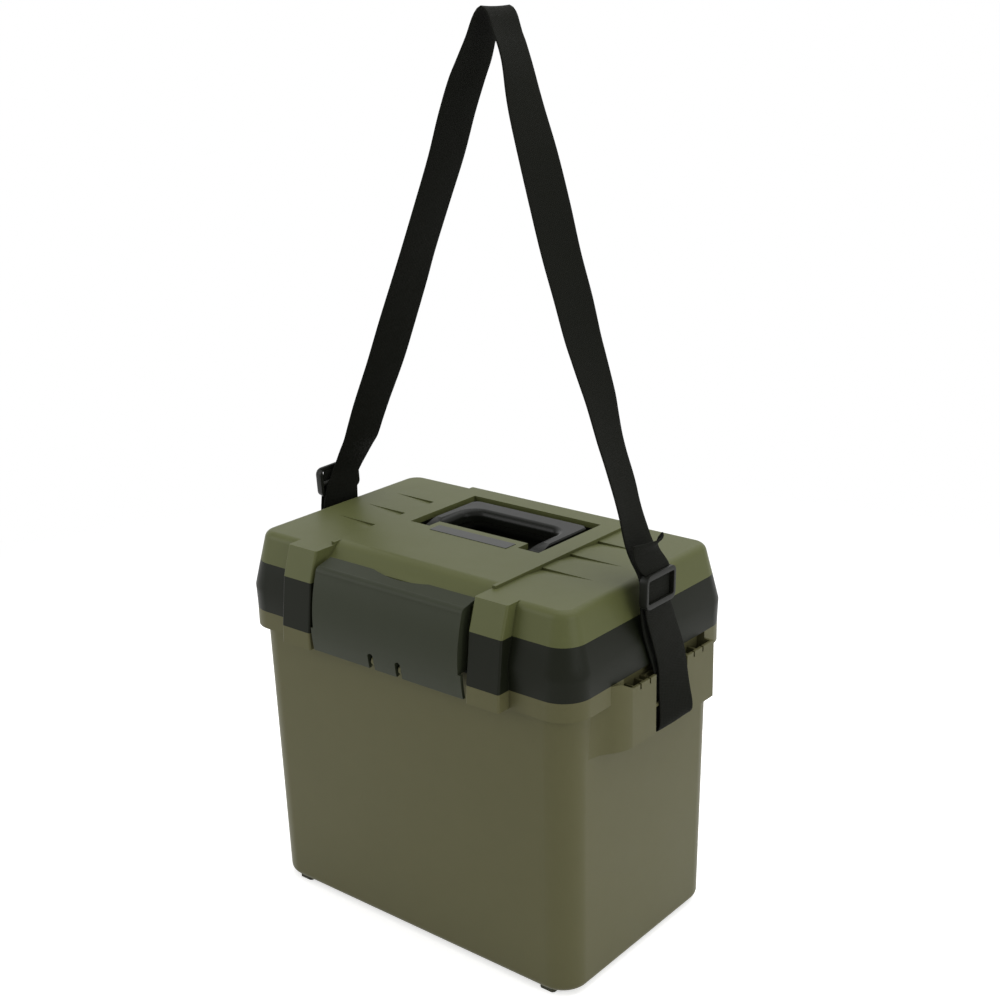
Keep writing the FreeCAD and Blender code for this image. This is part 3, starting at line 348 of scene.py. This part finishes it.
def makeWebbing(look):
    material = bpy.data.materials.new("webbing")
    material.use_nodes = True
    tree = material.node_tree
    shader = tree.nodes["Principled BSDF"]
    weave = tree.nodes.new("ShaderNodeGroup")
    weave.node_tree = webbingWeave
    weave.location = (-500, 100)
    bump = addNode(tree, "ShaderNodeBump", -250, -150, Strength=look["bump"], Distance=reliefDepth)
    tree.links.new(weave.outputs["Color"], shader.inputs["Base Color"])
    tree.links.new(weave.outputs["Roughness"], shader.inputs["Roughness"])
    tree.links.new(weave.outputs["Height"], bump.inputs["Height"])
    tree.links.new(bump.outputs["Normal"], shader.inputs["Normal"])
    shader.inputs["Specular IOR Level"].default_value = look["gloss"]
    return material


materials["webbing"] = makeWebbing(webbingLook)
print("materials ready:", len(materials))

# Parts that keep their shape: each one's finish and the width of its softened edges in metres
dressing = {
    "tub": ("tubPlastic", 0.0006),
    "feet": ("footRubber", 0.0005),
    "strap_pocket_right": ("tubPlastic", 0.0004),
    "strap_pocket_left": ("tubPlastic", 0.0004),
    "tray_hinge_pin_right": ("pinSteel", 0.0002),
    "tray_hinge_pin_left": ("pinSteel", 0.0002),
    "tray_section": ("blackPlastic", 0.0006),
    "tray_dividers": ("blackPlastic", 0.0004),
    "lid_hinge_pin_right": ("pinSteel", 0.0002),
    "lid_hinge_pin_left": ("pinSteel", 0.0002),
    "lid_shell": ("olivePlastic", 0.0008),
    "handle_well": ("wellPlastic", 0.0005),
    "label_plate": ("labelPlastic", 0.0002),
    "carry_handle": ("handlePlastic", 0.0003),
    "latch": ("latchPlastic", 0.0006),
}
edgeFinish = {
    "weld": 0.00001,
    "flatWithin": 0.4,
    "sharpFrom": 32,
    "segments": 2,
}

# The tub's hinge knuckles end just above the lower edge of its collar, so its edges between these heights
# stay crisp
crispEdges = {"node": "tub", "low": 0.2670, "high": 0.2682}


def markSoftEdges(node, angle, crisp):
    # the loaded mesh is split along sharp edges, so an edge's two faces are found by its place
    mesh = node.data
    spots = [tuple(round(part, 5) for part in vertex.co) for vertex in mesh.vertices]
    sides = {}
    for face in mesh.polygons:
        for first, second in face.edge_keys:
            sides.setdefault(frozenset((spots[first], spots[second])), []).append(face.normal)
    weights = mesh.attributes.new("bevel_weight_edge", "FLOAT", "EDGE")
    for edge in mesh.edges:
        ends = [spots[vertex] for vertex in edge.vertices]
        normals = sides.get(frozenset(ends), [])
        sharp = len(normals) == 2 and normals[0].angle(normals[1], 0) > angle
        kept = all(crisp["low"] < end[2] < crisp["high"] for end in ends)
        weights.data[edge.index].value = 1.0 if sharp and not kept else 0.0
        edge.use_edge_sharp = sharp and kept


def dressNode(name, finish, softness):
    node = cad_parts[name]
    node.data.materials.clear()
    node.data.materials.append(materials[finish])
    for face in node.data.polygons:
        face.use_smooth = True
    weld = node.modifiers.new("joinFacets", "WELD")
    weld.merge_threshold = edgeFinish["weld"]
    flats = node.modifiers.new("flatFaces", "DECIMATE")
    flats.decimate_type = "DISSOLVE"
    flats.angle_limit = math.radians(edgeFinish["flatWithin"])
    sharpFrom = math.radians(edgeFinish["sharpFrom"])
    soften = node.modifiers.new("softEdges", "BEVEL")
    soften.width = softness
    soften.segments = edgeFinish["segments"]
    soften.use_clamp_overlap = True
    if name == crispEdges["node"]:
        markSoftEdges(node, sharpFrom, crispEdges)
        soften.limit_method = "WEIGHT"
    else:
        soften.limit_method = "ANGLE"
        soften.angle_limit = sharpFrom
    even = node.modifiers.new("evenShading", "WEIGHTED_NORMAL")
    even.keep_sharp = True


for name, (finish, softness) in dressing.items():
    dressNode(name, finish, softness)
print("parts dressed")

# One length of webbing, looped under a bar at each end. The route runs from its right tail to its left tail:
# x, y and z in metres, then twist and tilt of its width and the curl of its rear edge in degrees
shoulderStrap = {
    "width": 0.038,
    "thickness": 0.0015,
    "step": 0.005,
    "columns": 12,
    "crown": 5.0,
    "curlFrom": 0.3,
    "curlGrowth": 1.3,
    "selvedge": 0.00045,
    "selvedgeSegments": 2,
    "selvedgeAngle": 50,
    "slot": "webbing",
    "replaces": ("strap_end_right", "strap_end_left", "strap_upper"),
    "route": [
        (0.1998, -0.0215, 0.3990, 16, 0, 72),
        (0.1962, -0.0208, 0.3935, 6, 3, 45),
        (0.1938, -0.0190, 0.3875, -4, 6, 10),
        (0.1945, -0.0154, 0.3805, -6, 7, 0),
        (0.1962, -0.0116, 0.3750, -4, 3, 0),
        (0.1971, -0.0092, 0.3710, -3, -1, 0),
        (0.1971, -0.0086, 0.3570, -3, -2, 0),
        (0.1971, -0.0085, 0.3435, -3, -2, 0),
        (0.1972, -0.0066, 0.3350, -3, 8, 0),
        (0.1973, -0.0014, 0.3225, -3, 17, 0),
        (0.1972, 0.0042, 0.3090, -2, 19, 0),
        (0.1973, 0.0092, 0.2970, 0, 17, 0),
        (0.1978, 0.0124, 0.2870, 2, 12, 0),
        (0.1983, 0.0140, 0.2765, 4, 7, 0),
        (0.1992, 0.0143, 0.2640, 7, 5, 0),
        (0.2009, 0.0142, 0.2500, 10, 7, 0),
        (0.2024, 0.0138, 0.2380, 13, 9, -6),
        (0.2023, 0.0136, 0.2305, 14, 11, -10),
        (0.2006, 0.0134, 0.2266, 14, 12, -8),
        (0.1976, 0.0133, 0.2250, 12, 12, -4),
        (0.1946, 0.0135, 0.2266, 8, 10, 0),
        (0.1925, 0.0138, 0.2315, 4, 6, 0),
        (0.1917, 0.0140, 0.2400, 1, 2, 0),
        (0.1916, 0.0140, 0.2520, 0, 2, 0),
        (0.1916, 0.0136, 0.2660, 0, 5, 0),
        (0.1916, 0.0122, 0.2780, 0, 10, 0),
        (0.1916, 0.0092, 0.2890, 0, 15, 0),
        (0.1915, 0.0046, 0.3000, -1, 18, 0),
        (0.1916, -0.0016, 0.3140, -1, 18, 0),
        (0.1916, -0.0066, 0.3280, -2, 15, 0),
        (0.1916, -0.0096, 0.3420, -4, 10, 0),
        (0.1917, -0.0114, 0.3570, -5, 10, 0),
        (0.1914, -0.0123, 0.3700, -6, 11, 0),
        (0.1879, -0.0124, 0.3775, -6, 9.5, 0),
        (0.1836, -0.0121, 0.3835, -5, 7.5, 0),
        (0.1794, -0.0116, 0.3905, -4.5, 5.5, 0),
        (0.1759, -0.0109, 0.3980, -4.5, 3.5, 0),
        (0.1726, -0.0102, 0.4060, -6, 2, 0),
        (0.1696, -0.0095, 0.4140, -7.5, 1, 0),
        (0.1663, -0.0088, 0.4230, -7.5, 0, 0),
        (0.1626, -0.0079, 0.4330, -6.5, 0, 0),
        (0.1582, -0.0070, 0.4435, -6, 0, 0),
        (0.1515, -0.0057, 0.4585, -6, 0, 0),
        (0.1454, -0.0045, 0.4730, -4, 0, 0),
        (0.1398, -0.0032, 0.4890, -0.5, 0, 0),
        (0.1342, -0.0018, 0.5050, 4, 0, 0),
        (0.1274, -0.0005, 0.5210, 8, 0, 0),
        (0.1204, 0.0009, 0.5370, 11.5, 0, 0),
        (0.1140, 0.0021, 0.5520, 14.5, 0, 0),
        (0.1026, 0.0047, 0.5830, 19, 0, 0),
        (0.0882, 0.0077, 0.6190, 21, 0, 0),
        (0.0746, 0.0110, 0.6580, 23.5, 0, 0),
        (0.0602, 0.0143, 0.6980, 21, 0, 0),
        (0.0468, 0.0172, 0.7330, 12.5, 0, 0),
        (0.0414, 0.0186, 0.7490, 7.5, 0, 0),
        (0.0376, 0.0196, 0.7620, 3, 0, 0),
        (0.0338, 0.0207, 0.7730, 0, 0, 0),
        (0.0282, 0.0219, 0.7860, -1, 0, 0),
        (0.0242, 0.0226, 0.7930, -0.5, 0, 0),
        (0.0206, 0.0233, 0.8015, 0, 0, 0),
        (0.0170, 0.0239, 0.8090, 0, 0, 0),
        (0.0112, 0.0240, 0.8136, 0, 0, 0),
        (0.0052, 0.0240, 0.8088, 0, 0, 0),
        (0.0010, 0.0238, 0.8015, 0, 0, 0),
        (-0.0024, 0.0234, 0.7930, 1, 0, 0),
        (-0.0050, 0.0229, 0.7860, 4, 0, 0),
        (-0.0116, 0.0224, 0.7710, 11.5, 0, 0),
        (-0.0186, 0.0219, 0.7570, 15, 0, 0),
        (-0.0319, 0.0226, 0.7278, 15.5, 0, 0),
        (-0.0478, 0.0253, 0.6913, 15.5, 0, 0),
        (-0.0685, 0.0266, 0.6465, 14.5, 0, 0),
        (-0.0896, 0.0276, 0.6006, 15, 0, 0),
        (-0.0998, 0.0278, 0.5771, 18.5, 0, 0),
        (-0.1179, 0.0284, 0.5371, 23, 0, 0),
        (-0.1354, 0.0285, 0.4971, 24, 0, 0),
        (-0.1554, 0.0275, 0.4543, 20.5, 0, 0),
        (-0.1636, 0.0269, 0.4349, 18, 0, 0),
        (-0.1715, 0.0262, 0.4156, 15.5, 0, 0),
        (-0.1771, 0.0259, 0.4064, 13, 1, 0),
        (-0.1819, 0.0257, 0.3983, 10.5, 2, 0),
        (-0.1862, 0.0251, 0.3904, 8.5, 3, 0),
        (-0.1888, 0.0233, 0.3839, 7.5, 5, 0),
        (-0.1893, 0.0201, 0.3792, 7, 6, 0),
        (-0.1896, 0.0171, 0.3746, 7.5, 7, 0),
        (-0.1899, 0.0150, 0.3680, 9.5, 8, 0),
        (-0.1902, 0.0142, 0.3610, 13, 8, 0),
        (-0.1905, 0.0134, 0.3547, 16.5, 8, 0),
        (-0.1913, 0.0140, 0.3470, 17, 8, 0),
        (-0.1917, 0.0150, 0.3310, 8, 6, 0),
        (-0.1915, 0.0150, 0.3080, 0.5, 3, 0),
        (-0.1916, 0.0144, 0.2800, 0, 2.3, 0),
        (-0.1916, 0.0140, 0.2540, 0, 0, 0),
        (-0.1917, 0.0140, 0.2400, 0, 0, 0),
        (-0.1923, 0.0140, 0.2320, 1, 0, 0),
        (-0.1943, 0.0140, 0.2272, 1, 0, 0),
        (-0.1972, 0.0140, 0.2256, 1, 0, 0),
        (-0.2001, 0.0140, 0.2274, -1, 0, 0),
        (-0.2015, 0.0140, 0.2320, -2, 0, 0),
        (-0.2011, 0.0140, 0.2400, -3, 0, 0),
        (-0.1993, 0.0140, 0.2540, -2, 0, 0),
        (-0.1975, 0.0144, 0.2800, 0, 2.3, 0),
        (-0.1971, 0.0150, 0.3080, 1, 3, 0),
        (-0.1980, 0.0150, 0.3310, 8, 6, 0),
        (-0.1979, 0.0142, 0.3410, 12, 7, 0),
        (-0.1966, 0.0136, 0.3520, 13, 8, 0),
        (-0.1962, 0.0146, 0.3619, 13, 8, 0),
        (-0.1958, 0.0152, 0.3726, 12, 7, 0),
        (-0.1954, 0.0172, 0.3811, 12, 6, 0),
        (-0.1952, 0.0182, 0.3858, 12, 6, 0),
    ],
}


def mixPoints(first, second, share):
    return tuple(a + (b - a) * share for a, b in zip(first, second))


def smoothRoute(points, step):
    # an even curve through every point, however near its neighbours are
    lead = mixPoints(points[0], points[1], -1.0)
    trail = mixPoints(points[-1], points[-2], -1.0)
    whole = [lead, *points, trail]
    samples = []
    for index in range(1, len(whole) - 2):
        a, b, c, d = whole[index - 1:index + 3]
        knots = [0.0]
        for first, second in ((a, b), (b, c), (c, d)):
            gap = (Vector(second[:3]) - Vector(first[:3])).length
            knots.append(knots[-1] + math.sqrt(gap))
        count = max(2, math.ceil((Vector(c[:3]) - Vector(b[:3])).length / step))
        for part in range(count):
            t = knots[1] + (knots[2] - knots[1]) * part / count
            ab = mixPoints(a, b, (t - knots[0]) / (knots[1] - knots[0]))
            bc = mixPoints(b, c, (t - knots[1]) / (knots[2] - knots[1]))
            cd = mixPoints(c, d, (t - knots[2]) / (knots[3] - knots[2]))
            abc = mixPoints(ab, bc, (t - knots[0]) / (knots[2] - knots[0]))
            bcd = mixPoints(bc, cd, (t - knots[1]) / (knots[3] - knots[1]))
            samples.append(mixPoints(abc, bcd, (t - knots[1]) / (knots[2] - knots[1])))
    samples.append(points[-1])
    return samples


def widthProfile(piece, curl):
    # how far across and how far out of the flat each column of the mesh lies
    half, gap = piece["width"] / 2, piece["width"] / piece["columns"]
    flatPart = piece["curlFrom"] * half
    across, out = [0.0], [0.0]
    for side in (1, -1):
        u, v = 0.0, 0.0
        for column in range(piece["columns"] // 2):
            s = side * (column + 0.5) * gap
            bend = piece["crown"] * s / half
            if s > flatPart:
                bend += curl * ((s - flatPart) / (half - flatPart)) ** piece["curlGrowth"]
            u += side * gap * math.cos(math.radians(bend))
            v += side * gap * math.sin(math.radians(bend))
            if side > 0:
                across.append(u)
                out.append(v)
            else:
                across.insert(0, u)
                out.insert(0, v)
    return list(zip(across, out))


def makeWebbingPiece(name, piece):
    samples = smoothRoute(piece["route"], piece["step"])
    places = [Vector(sample[:3]) for sample in samples]
    travelled = [0.0]
    for before, after in zip(places, places[1:]):
        travelled.append(travelled[-1] + (after - before).length)
    mesh = bpy.data.meshes.new(name)
    grid = bmesh.new()
    layer = grid.loops.layers.uv.new("weave")
    rows = []
    for index, sample in enumerate(samples):
        before = places[max(0, index - 1)]
        after = places[min(len(places) - 1, index + 1)]
        forward = (after - before).normalized()
        twist, tilt = math.radians(sample[3]), math.radians(sample[4])
        level = math.cos(tilt)
        across = Vector((math.sin(twist) * level, math.cos(twist) * level, math.sin(tilt)))
        outward = across.cross(forward).normalized()
        profile = widthProfile(piece, sample[5])
        rows.append([grid.verts.new(places[index] + across * u + outward * v) for u, v in profile])
    for index in range(len(rows) - 1):
        for column in range(piece["columns"]):
            near, far = rows[index], rows[index + 1]
            face = grid.faces.new((near[column], far[column], far[column + 1], near[column + 1]))
            face.smooth = True
            marks = ((column, index), (column, index + 1), (column + 1, index + 1), (column + 1, index))
            for loop, (u, v) in zip(face.loops, marks):
                loop[layer].uv = (u / piece["columns"], travelled[v])
    grid.to_mesh(mesh)
    grid.free()
    webbing = bpy.data.objects.new(name, mesh)
    bpy.context.collection.objects.link(webbing)
    mesh.materials.append(materials["webbing"])
    bpy.context.view_layer.objects.active = webbing
    webbing.select_set(True)
    thick = webbing.modifiers.new("ply", "SOLIDIFY")
    thick.thickness = piece["thickness"]
    thick.offset = 0
    edge = webbing.modifiers.new("selvedge", "BEVEL")
    edge.width = piece["selvedge"]
    edge.segments = piece["selvedgeSegments"]
    edge.limit_method = "ANGLE"
    edge.angle_limit = math.radians(piece["selvedgeAngle"])
    for modifier in (thick, edge):
        bpy.ops.object.modifier_apply(modifier=modifier.name)
    webbing.select_set(False)
    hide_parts(*piece["replaces"])
    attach(webbing, "root")
    print("webbing ready:", round(travelled[-1], 3), "m long")


makeWebbingPiece("shoulderStrap", shoulderStrap)

# Three-bar adjusters: a rounded frame in front, rails at the sides and a bar between the two plies.
# Front, back, behindFront and centreBarX are distances from the box's middle, in metres
strapSlider = {
    "height": 0.0295,
    "width": 0.0462,
    "window": 0.0398,
    "corner": 0.0062,
    "cornerSegments": 6,
    "bar": 0.0046,
    "back": 0.1934,
    "front": 0.2007,
    "behindFront": 0.1981,
    "opening": 0.0392,
    "openingDepth": 0.02,
    "openingHeight": 0.1,
    "centreBar": 0.0017,
    "centreBarX": 0.1943,
    "centreBarSides": 20,
    "centreBarTall": 1.35,
    "centreBarGrip": 0.001,
    "weld": 0.00002,
    "soften": 0.0007,
    "softenSegments": 3,
    "softenAngle": 40,
    "smoothAngle": 45,
    "slot": "slider_plastic",
}

# Inwards is metres towards the box. Lean, tip and turn are degrees about x, y and z
sliderPlaces = {
    "strapSliderRight": {
        "side": 1, "inwards": 0.0, "y": -0.0086, "z": 0.3560, "lean": -2, "tip": 0, "turn": -2.5,
        "replaces": "strap_slider_right", "rides": "slider_right",
    },
    "strapSliderLeft": {
        "side": -1, "inwards": 0.0018, "y": 0.0154, "z": 0.3750, "lean": 6, "tip": 3, "turn": 9,
        "replaces": "strap_slider_left", "rides": "slider_left",
    },
}


def applyModifier(piece, kind, **settings):
    modifier = piece.modifiers.new(kind.lower(), kind)
    for setting, value in settings.items():
        setattr(modifier, setting, value)
    bpy.ops.object.modifier_apply(modifier=modifier.name)


def joinTool(piece, tool, operation):
    # cuts the tool out of the piece or adds it, then removes the tool
    tool.select_set(False)
    bpy.context.view_layer.objects.active = piece
    piece.select_set(True)
    applyModifier(piece, "BOOLEAN", operation=operation, solver="EXACT", object=tool)
    bpy.data.objects.remove(tool)


def addSlider(name, shape, place):
    middleX = (shape["front"] + shape["back"]) / 2
    bpy.ops.mesh.primitive_plane_add(size=1, rotation=(0, math.pi / 2, 0))
    slider = bpy.context.object
    slider.name = name
    slider.scale = (shape["height"], shape["width"], 1)
    bpy.ops.object.transform_apply(location=True, rotation=True, scale=True)
    bpy.ops.object.mode_set(mode="EDIT")
    bpy.ops.mesh.select_all(action="SELECT")
    bpy.ops.mesh.bevel(offset=shape["corner"], segments=shape["cornerSegments"], affect="VERTICES")
    bpy.ops.mesh.select_all(action="SELECT")
    bpy.ops.mesh.inset(thickness=shape["bar"])
    wider = shape["window"] / (shape["width"] - 2 * shape["bar"])
    bpy.ops.transform.resize(value=(1, wider, 1))
    bpy.ops.mesh.delete(type="FACE")
    bpy.ops.mesh.select_all(action="SELECT")
    backwards = (shape["back"] - shape["front"], 0, 0)
    bpy.ops.mesh.extrude_region_move(TRANSFORM_OT_translate={"value": backwards})
    bpy.ops.mesh.select_all(action="SELECT")
    bpy.ops.mesh.normals_make_consistent(inside=False)
    bpy.ops.object.mode_set(mode="OBJECT")
    slider.location = (shape["front"] - middleX, 0, 0)
    bpy.ops.object.transform_apply(location=True)

    opening = (shape["openingDepth"], shape["opening"], shape["openingHeight"])
    openingX = shape["behindFront"] - middleX - shape["openingDepth"] / 2
    bpy.ops.mesh.primitive_cube_add(size=1, location=(openingX, 0, 0), scale=opening)
    joinTool(slider, bpy.context.object, "DIFFERENCE")
    slider.select_set(False)

    barLength = shape["opening"] + shape["centreBarGrip"]
    bpy.ops.mesh.primitive_cylinder_add(
        vertices=shape["centreBarSides"], radius=shape["centreBar"], depth=barLength,
        location=(shape["centreBarX"] - middleX, 0, 0), rotation=(math.pi / 2, 0, 0))
    bpy.ops.object.transform_apply(location=False, rotation=True, scale=True)
    bpy.context.object.scale = (1, 1, shape["centreBarTall"])
    joinTool(slider, bpy.context.object, "UNION")
    applyModifier(slider, "WELD", merge_threshold=shape["weld"])
    applyModifier(
        slider, "BEVEL", width=shape["soften"], segments=shape["softenSegments"],
        limit_method="ANGLE", angle_limit=math.radians(shape["softenAngle"]))
    bpy.ops.object.shade_smooth_by_angle(angle=math.radians(shape["smoothAngle"]))
    if place["side"] < 0:
        slider.rotation_euler = (0, 0, math.pi)
        bpy.ops.object.transform_apply(rotation=True)
    leaning = Quaternion((1, 0, 0), math.radians(place["lean"]))
    tipped = Quaternion((0, 1, 0), math.radians(place["tip"]))
    turned = Quaternion((0, 0, 1), math.radians(-place["turn"]))
    slider.rotation_mode = "QUATERNION"
    slider.rotation_quaternion = tipped @ leaning @ turned
    slider.location = (place["side"] * (middleX - place["inwards"]), place["y"], place["z"])
    bpy.ops.object.transform_apply(location=True, rotation=True, scale=True)
    slider.select_set(False)
    slider.data.materials.clear()
    slider.data.materials.append(materials["sliderPlastic"])
    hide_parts(place["replaces"])
    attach(slider, place["rides"])


for name, place in sliderPlaces.items():
    addSlider(name, strapSlider, place)
print("strap sliders ready")

# Floor, lamps and world. The shadow on the floor fades to white between the two distances from the middle
studio = {
    "floorRadius": 30.0,
    "floorSides": 96,
    "floorColor": (0.80, 0.80, 0.79),
    "floorRoughness": 0.9,
    "floorGloss": 0.1,
    "shadowStrength": 0.42,
    "fadeFrom": 0.35,
    "fadeTo": 1.3,
    "world": 0.56,
    "lamps": {
        "top": {"at": (0.2, 0.6, 2.3), "to": (0, 0, 0.3), "size": 2.4, "power": 36},
        "left": {"at": (-1.9, -2.0, 1.4), "to": (0, 0, 0.2), "size": 1.8, "power": 25},
        "right": {"at": (2.6, -0.2, 1.1), "to": (0, 0, 0.2), "size": 1.6, "power": 22},
    },
}
white = (1, 1, 1, 1)


def addFloor(setup):
    # white to the lens and in reflections, with a soft shadow close to the box
    bpy.ops.mesh.primitive_circle_add(
        vertices=setup["floorSides"], radius=setup["floorRadius"], fill_type="NGON", location=(0, 0, 0))
    floor = bpy.context.object
    floor.name = "studioFloor"
    paper = bpy.data.materials.new("floorPaper")
    paper.use_nodes = True
    tree = paper.node_tree
    shader = tree.nodes["Principled BSDF"]
    shader.inputs["Base Color"].default_value = (*setup["floorColor"], 1)
    shader.inputs["Roughness"].default_value = setup["floorRoughness"]
    shader.inputs["Specular IOR Level"].default_value = setup["floorGloss"]
    out = tree.nodes["Material Output"]
    shadowGlow = 1.0 - setup["shadowStrength"]
    glow = addNode(tree, "ShaderNodeEmission", -100, -300, Color=white, Strength=1.0)
    base = addNode(tree, "ShaderNodeEmission", -100, -450, Color=white, Strength=shadowGlow)
    near = tree.nodes.new("ShaderNodeAddShader")
    near.location = (120, -200)
    tree.links.new(shader.outputs[0], near.inputs[0])
    tree.links.new(base.outputs[0], near.inputs[1])
    place = addNode(tree, "ShaderNodeTexCoord", -900, -100)
    reach = tree.nodes.new("ShaderNodeVectorMath")
    reach.operation = "LENGTH"
    reach.location = (-700, -100)
    tree.links.new(place.outputs["Object"], reach.inputs[0])
    fade = addNode(
        tree, "ShaderNodeMapRange", -500, -100, From_Min=setup["fadeFrom"], From_Max=setup["fadeTo"])
    fade.interpolation_type = "SMOOTHSTEP"
    tree.links.new(reach.outputs["Value"], fade.inputs["Value"])
    seenFloor = tree.nodes.new("ShaderNodeMixShader")
    seenFloor.location = (300, -200)
    tree.links.new(fade.outputs["Result"], seenFloor.inputs["Fac"])
    tree.links.new(near.outputs[0], seenFloor.inputs[1])
    tree.links.new(glow.outputs[0], seenFloor.inputs[2])
    mix = tree.nodes.new("ShaderNodeMixShader")
    mix.location = (500, 0)
    tree.links.new(seenDirectly(tree, -300, 300).outputs[0], mix.inputs["Fac"])
    tree.links.new(shader.outputs[0], mix.inputs[1])
    tree.links.new(seenFloor.outputs[0], mix.inputs[2])
    tree.links.new(mix.outputs[0], out.inputs["Surface"])
    floor.data.materials.append(paper)


def addLamp(name, lamp):
    aim = Vector(lamp["to"]) - Vector(lamp["at"])
    bpy.ops.object.light_add(type="AREA", location=lamp["at"])
    light = bpy.context.object
    light.name = name + "Lamp"
    light.rotation_euler = aim.to_track_quat("-Z", "Y").to_euler()
    light.data.size = lamp["size"]
    light.data.energy = lamp["power"]


def addWorld(strength):
    world = bpy.data.worlds.new("softWorld")
    world.use_nodes = True
    bpy.context.scene.world = world
    tree = world.node_tree
    tree.nodes.clear()
    out = tree.nodes.new("ShaderNodeOutputWorld")
    lit = addNode(tree, "ShaderNodeBackground", -300, 100, Color=white, Strength=strength)
    seen = addNode(tree, "ShaderNodeBackground", -300, -100, Color=white, Strength=1.0)
    mix = tree.nodes.new("ShaderNodeMixShader")
    tree.links.new(seenDirectly(tree, -500, 300).outputs[0], mix.inputs["Fac"])
    tree.links.new(lit.outputs[0], mix.inputs[1])
    tree.links.new(seen.outputs[0], mix.inputs[2])
    tree.links.new(mix.outputs[0], out.inputs["Surface"])


addFloor(studio)
for name, lamp in studio["lamps"].items():
    addLamp(name, lamp)
addWorld(studio["world"])
bpy.context.scene.view_settings.view_transform = "Standard"
print("studio ready")
